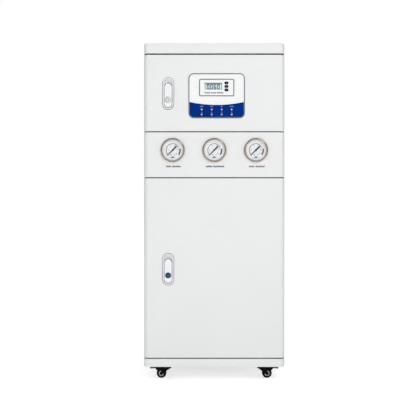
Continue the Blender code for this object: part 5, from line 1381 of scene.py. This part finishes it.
def inlet_module():
    """The inlet's flange and case, with the keyed socket, its blades and the fuse drawer."""
    x, z = INLET_MIDDLE
    back = INLET_BACK
    flange = prism(rounded(*about(INLET_MIDDLE, INLET_FLANGE), 0.004, 8), "XZ", REAR + SEAM, back)
    case = prism(rectangle(*about(INLET_MIDDLE, INLET_HALF)), "XZ", INLET_BOX[0].y, back - 0.0015)
    socket_z = z + 0.013
    left, right, foot, top, key = x - 0.012, x + 0.012, socket_z - 0.00825, socket_z + 0.00825, 0.0045
    socket = [(left, foot), (right, foot), (right, top - key), (right - key, top), (left + key, top),
              (left, top - key)]
    well = rounded(*about((x, ROCKER_Z), (0.0112, 0.00745)), 0.0008, 4)
    drawer = rounded((x - 0.0115, z - 0.0036), (x + 0.0115, z + 0.0028), 0.0008, 4)
    cuts = [
        prism(socket, "XZ", back - 0.017, back + OVERRUN),
        prism(well, "XZ", back - 0.010, back + OVERRUN),
        prism(drawer, "XZ", back - 0.0006, back + OVERRUN),
    ]
    piece("inlet_case", flange, BLACK, "cabinet", ("power_inlet",), cuts, [case],
          edge=0.0004, segments=2)
    door = rounded((x - 0.0112, z - 0.0033), (x + 0.0112, z + 0.0025), 0.0006, 4)
    notch = prism(rectangle((x - 0.002, z + 0.0012), (x + 0.002, z + 0.0030)), "XZ",
                  back - 0.0007, back + OVERRUN)
    piece("fuse_drawer", prism(door, "XZ", back - 0.0012, back - 0.0001), BLACK, "cabinet",
          (), [notch], edge=0.0002, segments=2)
    blades = []
    for index, rise in enumerate((-0.003, 0.003, -0.003)):
        outline = rounded(*about((x + (index - 1) * 0.007, socket_z + rise), (0.001, 0.002)), 0.0004, 3)
        blades.append(prism(outline, "XZ", back - 0.0174, back - 0.002))
    piece("inlet_blades", merged(blades), STEEL, "cabinet", edge=0.0002, segments=2)
    pin = prism(circle((back - 0.003, ROCKER_Z), 0.001, SMALL), "YZ", x - 0.0115, x + 0.0115)
    piece("rocker_pin", pin, STEEL, "cabinet")
    places = [(x - 0.0212, back, z - 0.0215), (x + 0.0212, back, z + 0.0215)]
    screws("inlet_screws", places, "rear", 0.0022, "cabinet")


def rocker():
    """The mains rocker, tipped to one side, with a ring and a line as its marks."""
    half, face = 0.00675, 0.003
    curve = []
    for step in range(13):
        share = 2 * step / 12 - 1
        curve.append((face - 0.0006 * (1 - share ** 2), share * half))
    profile = [(-face, -half)] + curve + [(-face, half)]
    mesh = prism(profile, "YZ", -0.0105, 0.0105)
    bore = prism(circle((0, 0), 0.0012, SMALL), "YZ", -0.012, 0.012)
    middle = (INLET_MIDDLE[0], INLET_BACK - 0.003, ROCKER_Z)
    tilt = Matrix.Translation(middle) @ Matrix.Rotation(math.radians(-8), 4, "X")
    mesh.transform(tilt)
    bore.transform(tilt)
    piece("rocker", mesh, BLACK, "main_switch", ("main_switch",), [bore], edge=0.0004)
    ring = prism(circle((0, 0), 0.0017, SMALL), "XZ", 0.0022, 0.0028)
    hole = prism(circle((0, 0), 0.0012, SMALL), "XZ", 0.001, 0.004)
    bar = prism(rectangle((-0.0003, -0.0017), (0.0003, 0.0017)), "XZ", 0.0022, 0.0028)
    for name, rise, meshes in (("rocker_off", -0.0040, [ring, hole]), ("rocker_on", 0.0040, [bar])):
        for mesh in meshes:
            mesh.transform(tilt @ Matrix.Translation((0, 0, rise)))
        piece(name, meshes[0], TUBE_WHITE, "main_switch", (), meshes[1:])


rear_sheet()
water_ports()
inlet_module()
rocker()


# Inside: filters, vessels, pump, electronics and tubing

BRACKET_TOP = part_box("filter_manifold")[1].z
HEAD_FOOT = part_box("filter_bowl_1")[1].z + SEAM
FILTER_Y = FRONT + 0.100


def tube(name, points, material, replaces=(), steps=48):
    """A tube along a smooth curve through four guide points."""
    path = []
    for step in range(steps + 1):
        t = step / steps
        rest = 1 - t
        path.append(rest ** 3 * points[0] + 3 * rest ** 2 * t * points[1] + 3 * rest * t ** 2 * points[2]
                    + t ** 3 * points[3])
    mesh = bmesh.new()
    rings = []
    side = None
    for index, place in enumerate(path):
        ahead = path[min(index + 1, steps)] - path[max(index - 1, 0)]
        ahead.normalize()
        if side is None:
            side = ahead.orthogonal().normalized()
        side = (side - side.dot(ahead) * ahead).normalized()
        other = ahead.cross(side)
        ring = []
        for k in range(SMALL):
            angle = math.tau * k / SMALL
            spoke = math.cos(angle) * side + math.sin(angle) * other
            ring.append(mesh.verts.new(place + HOSE_RADIUS * spoke))
        rings.append(ring)
    for one, two in zip(rings, rings[1:]):
        for k in range(SMALL):
            after = (k + 1) % SMALL
            mesh.faces.new((one[k], one[after], two[after], two[k]))
    mesh.faces.new(rings[0][::-1])
    mesh.faces.new(rings[-1])
    bmesh.ops.recalc_face_normals(mesh, faces=mesh.faces[:])
    piece(name, mesh, material, "cabinet", replaces)


def nut_profile(reach, length, radius):
    """A push fitting's collar as part of a lathe profile."""
    return [(radius, reach), (radius, reach + length * 0.55), (radius * 0.86, reach + length * 0.62),
            (radius * 0.86, reach + length * 0.94), (radius * 0.80, reach + length)]


def filter_set():
    """The bracket with its turned edges, the three heads with their ribs, and the bowls."""
    low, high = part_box("filter_manifold")
    front, back, sheet, leg = FRONT + 0.052, FRONT + 0.150, 0.002, 0.030
    level = BRACKET_TOP - sheet
    profile = [(front, level), (back - sheet, level), (back - sheet, level - leg), (back, level - leg),
               (back, BRACKET_TOP), (front, BRACKET_TOP)]
    holes = [prism(rounded((x - 0.014, front + 0.012), (x + 0.014, front + 0.018), 0.0029, 6), "XY",
                   level - OVERRUN, BRACKET_TOP + OVERRUN) for x in (-0.0625, 0.0625)]
    piece("bracket", prism(profile, "YZ", low.x, high.x), ZINC, "cabinet", ("filter_manifold",),
          [merged(holes)], edge=0.0004, segments=2)
    heads, ribs, bolts = [], [], []
    for x in FILTER_X:
        height = level - HEAD_FOOT
        heads.append(lathe([
            (0, 0), (0.0430, 0), (0.044, 0.001), (0.044, 0.012), (0.0425, 0.014), (0.0405, 0.028),
            (0.036, 0.034), (0.030, height - SEAM), (0, height - SEAM),
        ], FINE, (x, FILTER_Y, HEAD_FOOT), "up"))
        for k in range(10):
            rib = prism(rectangle((0.028, -0.0012), (0.0432, 0.0012)), "XY",
                        HEAD_FOOT + 0.012, HEAD_FOOT + 0.030)
            turn = Matrix.Rotation(math.tau * (k + 0.5) / 10, 4, "Z")
            rib.transform(Matrix.Translation((x, FILTER_Y, 0)) @ turn)
            ribs.append(rib)
        bolts += [(x + dx, FILTER_Y + dy, BRACKET_TOP) for dx in (-0.018, 0.018) for dy in (-0.018, 0.018)]
    port_z = level - 0.020
    links = []
    for x in (-0.0625, 0.0625):
        profile = [(0, -0.024), (0.009, -0.024), (0.009, -0.015), (0.0062, -0.014), (0.0062, 0.014),
                   (0.009, 0.015), (0.009, 0.024), (0, 0.024)]
        links.append(lathe(profile, SMALL, (x, FILTER_Y, port_z), "right"))
    spouts = []
    for x in (FILTER_X[0], FILTER_X[2]):
        profile = [(0, 0), (0.006, 0)] + nut_profile(FRONT + 0.1505 - FILTER_Y, 0.0132, 0.006)
        spouts.append(lathe(profile + [(0, FRONT + 0.164 - FILTER_Y)], SMALL, (x, FILTER_Y, port_z), "rear"))
    piece("filter_heads", merged(heads), HEAD_BLACK, "cabinet")
    piece("filter_head_ribs", merged(ribs), HEAD_BLACK, "cabinet")
    piece("filter_links", merged(links), TUBE_WHITE, "cabinet")
    piece("filter_spouts", merged(spouts), TUBE_WHITE, "cabinet")
    screws("bracket_bolts", bolts, "up", 0.0040, "cabinet")
    bowls()


def bowls():
    """The three filter bowls, each with its gripped collar."""
    for number, x in enumerate(FILTER_X, 1):
        top = HEAD_FOOT - SEAM
        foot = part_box(f"filter_bowl_{number}")[0].z
        length = top - foot
        profile = [(0, 0), (0.012, 0), (0.013, 0.002)] + arc((0.024, 0.014), 0.014, 270, 345, 10)
        profile += [(0.0382, 0.016), (0.0425, length - 0.024), (0.0455, length - 0.0215), (0.0455, length),
                    (0, length)]
        bowl = lathe(profile, FINE, (x, FILTER_Y, foot), "up")
        collar = []
        for k in range(28 * 4):
            angle = math.tau * k / (28 * 4)
            radius = 0.048 if k % 4 < 2 else 0.0466
            collar.append((x + radius * math.cos(angle), FILTER_Y + radius * math.sin(angle)))
        ring = prism(collar, "XY", top - 0.0215, top - 0.0005)
        piece(f"bowl_{number}", bowl, BOWL_BLUE, "cabinet", (f"filter_bowl_{number}",))
        piece(f"bowl_collar_{number}", ring, BOWL_BLUE, "cabinet", edge=0.0003, segments=2)


def membrane():
    """The membrane housing: tube with ribbed caps, two bands and a nipple."""
    x, y, bottom, top = plan_middle("membrane_housing")
    place = (x, y, bottom)
    length = top - bottom - NIPPLE
    cap, radius, wall = 0.028, 0.046, 0.040
    rising = [(0, 0), (radius - 0.004, 0), (radius, 0.003), (radius, cap - 0.003), (radius - 0.002, cap),
              (wall, cap)]
    falling = [(wall, length - cap), (radius - 0.002, length - cap), (radius, length - cap + 0.003),
               (radius, length - 0.004), (radius - 0.006, length - 0.0005), (0.010, length), (0.006, length)]
    profile = rising + falling + nut_profile(length + 0.001, 0.013, 0.006) + [(0, length + NIPPLE)]
    piece("membrane_shell", lathe(profile, FINE, place, "up"), SHELL_WHITE, "cabinet",
          ("membrane_housing",))
    ribs = []
    for foot, head in ((0.004, cap - 0.004), (length - cap + 0.004, length - 0.006)):
        for k in range(24):
            outline = rectangle((radius - 0.002, -0.0011), (radius + 0.0006, 0.0011))
            rib = prism(outline, "XY", bottom + foot, bottom + head)
            rib.transform(Matrix.Translation((x, y, 0)) @ Matrix.Rotation(math.tau * k / 24, 4, "Z"))
            ribs.append(rib)
    piece("membrane_ribs", merged(ribs), SHELL_WHITE, "cabinet")
    bands = []
    inner, outer = wall + 0.0001, wall + 0.0012
    for z in (0.11, 0.30):
        profile = [(inner, z), (outer, z), (outer, z + 0.012), (inner, z + 0.012)]
        bands.append(lathe(profile, MEDIUM, place, "up", ring=True))
    piece("membrane_bands", merged(bands), STEEL, "cabinet")


def column():
    """The resin column: wound shell on a base, under a domed head with its bolts and nipple."""
    x, y, bottom, top = plan_middle("resin_column")
    place = (x, y, bottom)
    length = top - bottom - NIPPLE
    cap, radius, wall = 0.034, 0.050, 0.045
    base = [(0, 0), (radius - 0.002, 0), (radius, 0.002), (radius, cap - 0.002), (radius - 0.001, cap),
            (0, cap)]
    piece("column_base", lathe(base, FINE, place, "up"), BLACK, "cabinet")
    shell = [(0, cap - 0.01), (wall - 0.0005, cap - 0.01), (wall, cap), (wall, length - cap - 0.002)]
    shell += [(wall - 0.0005, length - cap + 0.002), (0, length - cap + 0.002)]
    piece("column_shell", lathe(shell, FINE, place, "up"), WOUND, "cabinet", ("resin_column",))
    head = [(0, length - cap), (radius - 0.001, length - cap), (radius, length - cap + 0.001),
            (radius, length - 0.016)]
    head += [(radius - 0.003, length - 0.008), (0.030, length - 0.001), (0.024, length), (0.006, length)]
    head += nut_profile(length + 0.001, 0.013, 0.006) + [(0, length + NIPPLE)]
    piece("column_head", lathe(head, FINE, place, "up"), BLACK, "cabinet")
    bolts = [(*spot, bottom + length - 0.0046) for spot in circle((x, y), 0.038, 6)]
    screws("column_bolts", bolts, "up", 0.0034, "cabinet")


def pump():
    """The booster pump: slotted foot, saddles, the finned motor and the bolted head."""
    x, y, bottom = plan_middle("booster_pump")[:3]
    foot_top = bottom + 0.004
    axis = foot_top + 0.006 + 0.036
    foot = prism(rounded(*about((x, y), (0.065, 0.040)), 0.006, 8), "XY", bottom, foot_top)
    slots = []
    for dx in (-0.054, 0.054):
        for dy in (-0.031, 0.031):
            outline = rounded(*about((x + dx, y + dy), (0.006, 0.0025)), 0.0024, 5)
            slots.append(prism(outline, "XY", bottom - OVERRUN, foot_top + OVERRUN))
    piece("pump_foot", foot, ENAMEL, "cabinet", ("booster_pump",), [merged(slots)],
          edge=0.0005)
    start, end = x - 0.070, x + 0.020
    saddles = []
    for middle in (x - 0.0475, x - 0.0025):
        outline = rectangle(*about((middle, y), (0.008, 0.025)))
        saddles.append(prism(outline, "XY", foot_top - 0.001, axis - 0.012))
    piece("pump_saddles", merged(saddles), ENAMEL, "cabinet", edge=0.0008)
    profile = [(0, start), (0.030, start), (0.034, start + 0.002), (0.036, start + 0.005),
               (0.036, start + 0.012)]
    for k in range(9):
        groove = start + 0.016 + k * 0.0065
        profile += [(0.036, groove), (0.0335, groove + 0.0005), (0.0335, groove + 0.0025),
                    (0.036, groove + 0.003)]
    profile += [(0.036, end), (0, end)]
    mesh = lathe([(r, reach - x) for r, reach in profile], FINE, (x, y, axis), "right")
    piece("pump_motor", mesh, ENAMEL, "cabinet")
    block = prism(rounded(*about((y, axis), (0.035, 0.035)), 0.009, 10), "YZ", end + SEAM, x + 0.055)
    cover = prism(rounded(*about((y, axis), (0.033, 0.033)), 0.009, 10), "YZ", x + 0.0555, x + 0.070)
    piece("pump_block", block, BLACK, "cabinet", edge=0.0012)
    piece("pump_cover", cover, HEAD_BLACK, "cabinet", edge=0.0020)
    bolts = [(x + 0.070, y + dy, axis + dz) for dy in (-0.026, 0.026) for dz in (-0.026, 0.026)]
    screws("pump_bolts", bolts, "right", 0.0038, "cabinet")
    profile = [(0, 0.034), (0.0075, 0.034), (0.0075, 0.040), (0.005, 0.041), (0.005, 0.047), (0, 0.047)]
    spouts = [lathe(profile, SMALL, (x + 0.0375, y, axis), way) for way in ("front", "rear")]
    piece("pump_spouts", merged(spouts), TUBE_WHITE, "cabinet")
    return Vector((x + 0.0375, y, axis))


def supply():
    """The power supply: its vented case, terminal strip and screws."""
    low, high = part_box("power_supply")
    ledge_y, ledge_z = low.y + 0.022, high.z - 0.018
    profile = [(low.y, low.z), (high.y, low.z), (high.y, high.z), (ledge_y, high.z), (ledge_y, ledge_z),
               (low.y, ledge_z)]
    vents = []
    for column in range(6):
        for row in range(12):
            x = low.x + 0.014 + column * 0.014
            y = ledge_y + 0.012 + row * 0.0105
            vents.append(prism(circle((x, y), 0.0028, 12), "XY", high.z - 0.002, high.z + OVERRUN))
    piece("supply_case", prism(profile, "YZ", low.x, high.x), ZINC, "cabinet",
          ("power_supply",), [merged(vents)], edge=0.0006)
    start, near, far = low.x + 0.006, low.y + 0.003, ledge_y - 0.003
    strip = prism(rectangle((start, near), (high.x - 0.006, far)), "XY", ledge_z + 0.0002, ledge_z + 0.010)
    barriers = []
    for k in range(1, 7):
        middle = start + k * TERMINAL_PITCH
        outline = rectangle((middle - 0.0007, near), (middle + 0.0007, far))
        barriers.append(prism(outline, "XY", ledge_z + 0.005, ledge_z + 0.014))
    piece("supply_terminals", strip, BLACK, "cabinet", joins=[merged(barriers)])
    places = [(low.x + 0.0122 + k * TERMINAL_PITCH, low.y + 0.011, ledge_z + 0.010) for k in range(7)]
    screws("supply_screws", places, "up", 0.0030, "cabinet", BRASS)


def controller():
    """The controller board on its posts, with its blocks and cans."""
    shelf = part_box("power_supply")[0].z
    deck_z = shelf + 0.008
    top = deck_z + BOARD_THICKNESS
    corners = [(x, y) for x in (-0.144, -0.036) for y in (-0.054, 0.074)]
    board = prism(rounded((-0.150, -0.060), (-0.030, 0.080), 0.003, 6), "XY", deck_z, top)
    piece("controller_board", board, BOARD_GREEN, "cabinet", edge=0.0002, segments=2)
    post = [(0, 0), (0.003, 0), (0.003, 0.0078), (0, 0.0078)]
    posts = [lathe(post, SMALL, (*corner, shelf), "up") for corner in corners]
    piece("board_posts", merged(posts), BRASS, "cabinet")
    screws("board_screws", [(*corner, top) for corner in corners], "up", 0.0028, "cabinet")
    blocks = [((-0.132, -0.045), (-0.104, -0.030), 0.014), ((-0.096, -0.045), (-0.068, -0.030), 0.014),
              ((-0.120, 0.010), (-0.092, 0.034), 0.003), ((-0.080, -0.010), (-0.054, 0.010), 0.016),
              ((-0.080, 0.030), (-0.054, 0.050), 0.016), ((-0.140, 0.050), (-0.100, 0.066), 0.011)]
    meshes = [prism(rounded(a, b, 0.001, 4), "XY", top, top + height) for a, b, height in blocks]
    piece("board_parts", merged(meshes), BLACK, "cabinet", edge=0.0004, segments=2)
    cans = []
    for x, y, radius, height in ((-0.125, -0.008, 0.006, 0.018), (-0.108, -0.008, 0.005, 0.014),
                                 (-0.044, 0.020, 0.004, 0.012)):
        profile = [(0, 0), (radius, 0), (radius, height - 0.0008), (radius - 0.0008, height), (0, height)]
        cans.append(lathe(profile, SMALL, (x, y, top), "up"))
    piece("board_cans", merged(cans), STEEL, "cabinet")


filter_set()
membrane()
column()
PUMP_HEAD = pump()
supply()
controller()

UP = Vector((0, 0, 0.09))
IN = Vector((0, -0.09, 0))
OUT = [Vector((x, PORT_BLOCK_BOX[0].y - SEAM, PORT_Z)) for x in PORT_X]
INTAKE = Vector((FILTER_X[0], FRONT + 0.1643, BRACKET_TOP - 0.022))
PULL = Vector((0, (OUT[0].y - INTAKE.y) * 0.35, 0))
MEMBRANE_TOP = top_middle("membrane_housing")
COLUMN_TOP = top_middle("resin_column")
PUMP_SPOUT = Vector((0, 0.047, 0))
SUCTION = PUMP_HEAD + PUMP_SPOUT
OUTLET = PUMP_HEAD - PUMP_SPOUT
RETURN = Vector((FILTER_X[2], INTAKE.y, INTAKE.z))
FEED = Vector((MEMBRANE_TOP.x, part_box("membrane_housing")[0].y + 0.0005, 0.062))
tube("feed_hose", (OUT[0], OUT[0] - PULL, INTAKE + PULL, INTAKE), TUBE_BLUE, replaces=("feed_tube",))
tube("membrane_hose", (MEMBRANE_TOP, MEMBRANE_TOP + UP, OUT[1] + IN, OUT[1]), TUBE_WHITE)
tube("column_hose", (COLUMN_TOP, COLUMN_TOP + UP, OUT[3] + IN, OUT[3]), TUBE_BLUE)
tube("pump_hose", (SUCTION, SUCTION + Vector((0, 0.05, 0.05)), RETURN + Vector((0, 0.07, -0.12)), RETURN),
     TUBE_WHITE)
tube("pressure_hose", (OUTLET, OUTLET + Vector((0, -0.09, -0.02)), FEED + Vector((0, -0.15, 0)), FEED),
     TUBE_WHITE)


# Camera, light and floor

def view():
    """The camera at the photo's angle."""
    camera = bpy.data.cameras.new("camera")
    camera.sensor_width = SENSOR
    camera.lens = SENSOR * CAMERA_DISTANCE / (PIXEL * IMAGE_SIZE)
    holder = bpy.data.objects.new("camera", camera)
    holder.location = (CAMERA_X, FRONT - CAMERA_DISTANCE, CAMERA_Z)
    holder.rotation_euler = (math.pi / 2, 0, 0)
    bpy.context.scene.collection.objects.link(holder)
    bpy.context.scene.camera = holder


def surround():
    """A soft light all round, seen as white; gloss mirrors it white straight in front, else dark."""
    world = bpy.data.worlds.new("surround")
    world.use_nodes = True
    bpy.context.scene.world = world
    tree = world.node_tree
    background = tree.nodes["Background"]
    rays = tree.nodes.new("ShaderNodeLightPath").outputs

    def combine(operation, first, second):
        node = tree.nodes.new("ShaderNodeMath")
        node.operation = operation
        tree.links.new(first, node.inputs[0])
        tree.links.new(second, node.inputs[1])
        return node.outputs[0]

    def spread(value, **levels):
        node = tree.nodes.new("ShaderNodeMapRange")
        for key, number in levels.items():
            node.inputs[key.replace("_", " ")].default_value = number
        tree.links.new(value, node.inputs["Value"])
        return node.outputs["Result"]

    mirrored = combine("MAXIMUM", rays["Is Glossy Ray"], rays["Is Transmission Ray"])
    seen = combine("MAXIMUM", rays["Is Camera Ray"], mirrored)
    tree.links.new(spread(seen, To_Min=AMBIENT, To_Max=1.0), background.inputs["Strength"])
    place = tree.nodes.new("ShaderNodeTexCoord")
    parts = tree.nodes.new("ShaderNodeSeparateXYZ")
    tree.links.new(place.outputs["Generated"], parts.inputs[0])
    aside = spread(parts.outputs["Y"], From_Min=-0.92, From_Max=-0.70)
    tint = tree.nodes.new("ShaderNodeMix")
    tint.data_type = "RGBA"
    tree.links.new(combine("MULTIPLY", aside, rays["Is Glossy Ray"]), tint.inputs[0])
    tint.inputs[6].default_value = (1.0, 1.0, 1.0, 1.0)
    tint.inputs[7].default_value = SURROUND_DARK
    tree.links.new(tint.outputs[2], background.inputs["Color"])


def lights():
    """Two soft lamps in front; only the key shows in gloss."""
    for name, place, size, energy in LAMPS:
        data = bpy.data.lights.new(name, "AREA")
        data.shape = "DISK"
        data.size = size
        data.energy = energy
        lamp = bpy.data.objects.new(name, data)
        lamp.location = place
        lamp.visible_glossy = name != "front"
        aim = Vector((0, 0, 0.5)) - Vector(place)
        lamp.rotation_euler = aim.to_track_quat("-Z", "Y").to_euler()
        bpy.context.scene.collection.objects.link(lamp)


def ground():
    """A pale floor that keeps the object's shadow."""
    mesh = bmesh.new()
    corners = rectangle((-FLOOR_HALF, -FLOOR_HALF), (FLOOR_HALF, FLOOR_HALF))
    mesh.faces.new([mesh.verts.new((x, y, 0)) for x, y in corners])
    graph = Graph("floor_white")
    inputs = graph.shader.inputs
    share = graph.spread(graph.noise(3.0), 0.0, 1.0)
    graph.link(graph.mix(share, (0.90, 0.90, 0.90), (0.91, 0.91, 0.91)), inputs["Base Color"])
    inputs["Roughness"].default_value = 0.9
    inputs["Emission Color"].default_value = (1.0, 1.0, 1.0, 1.0)
    rays = graph.add("ShaderNodeLightPath")
    glow = graph.spread(rays.outputs["Is Camera Ray"], 0.0, FLOOR_GLOW, 0.0, 1.0)
    graph.link(glow, inputs["Emission Strength"])
    floor = make("floor", mesh, graph.material)


view()
surround()
lights()
ground()
bpy.context.scene.view_settings.view_transform = "Standard"

for name, finish in (
    ("side_panel_left", WHITE), ("side_panel_right", WHITE), ("electronics_shelf", ZINC),
    ("lower_hinge_rod", STEEL), ("upper_hinge_rod", STEEL),
    ("lower_lock_cam", ZINC), ("upper_lock_cam", ZINC),
):
    node = frame["nodes"][name]
    node.data.materials.clear()
    node.data.materials.append(finish)
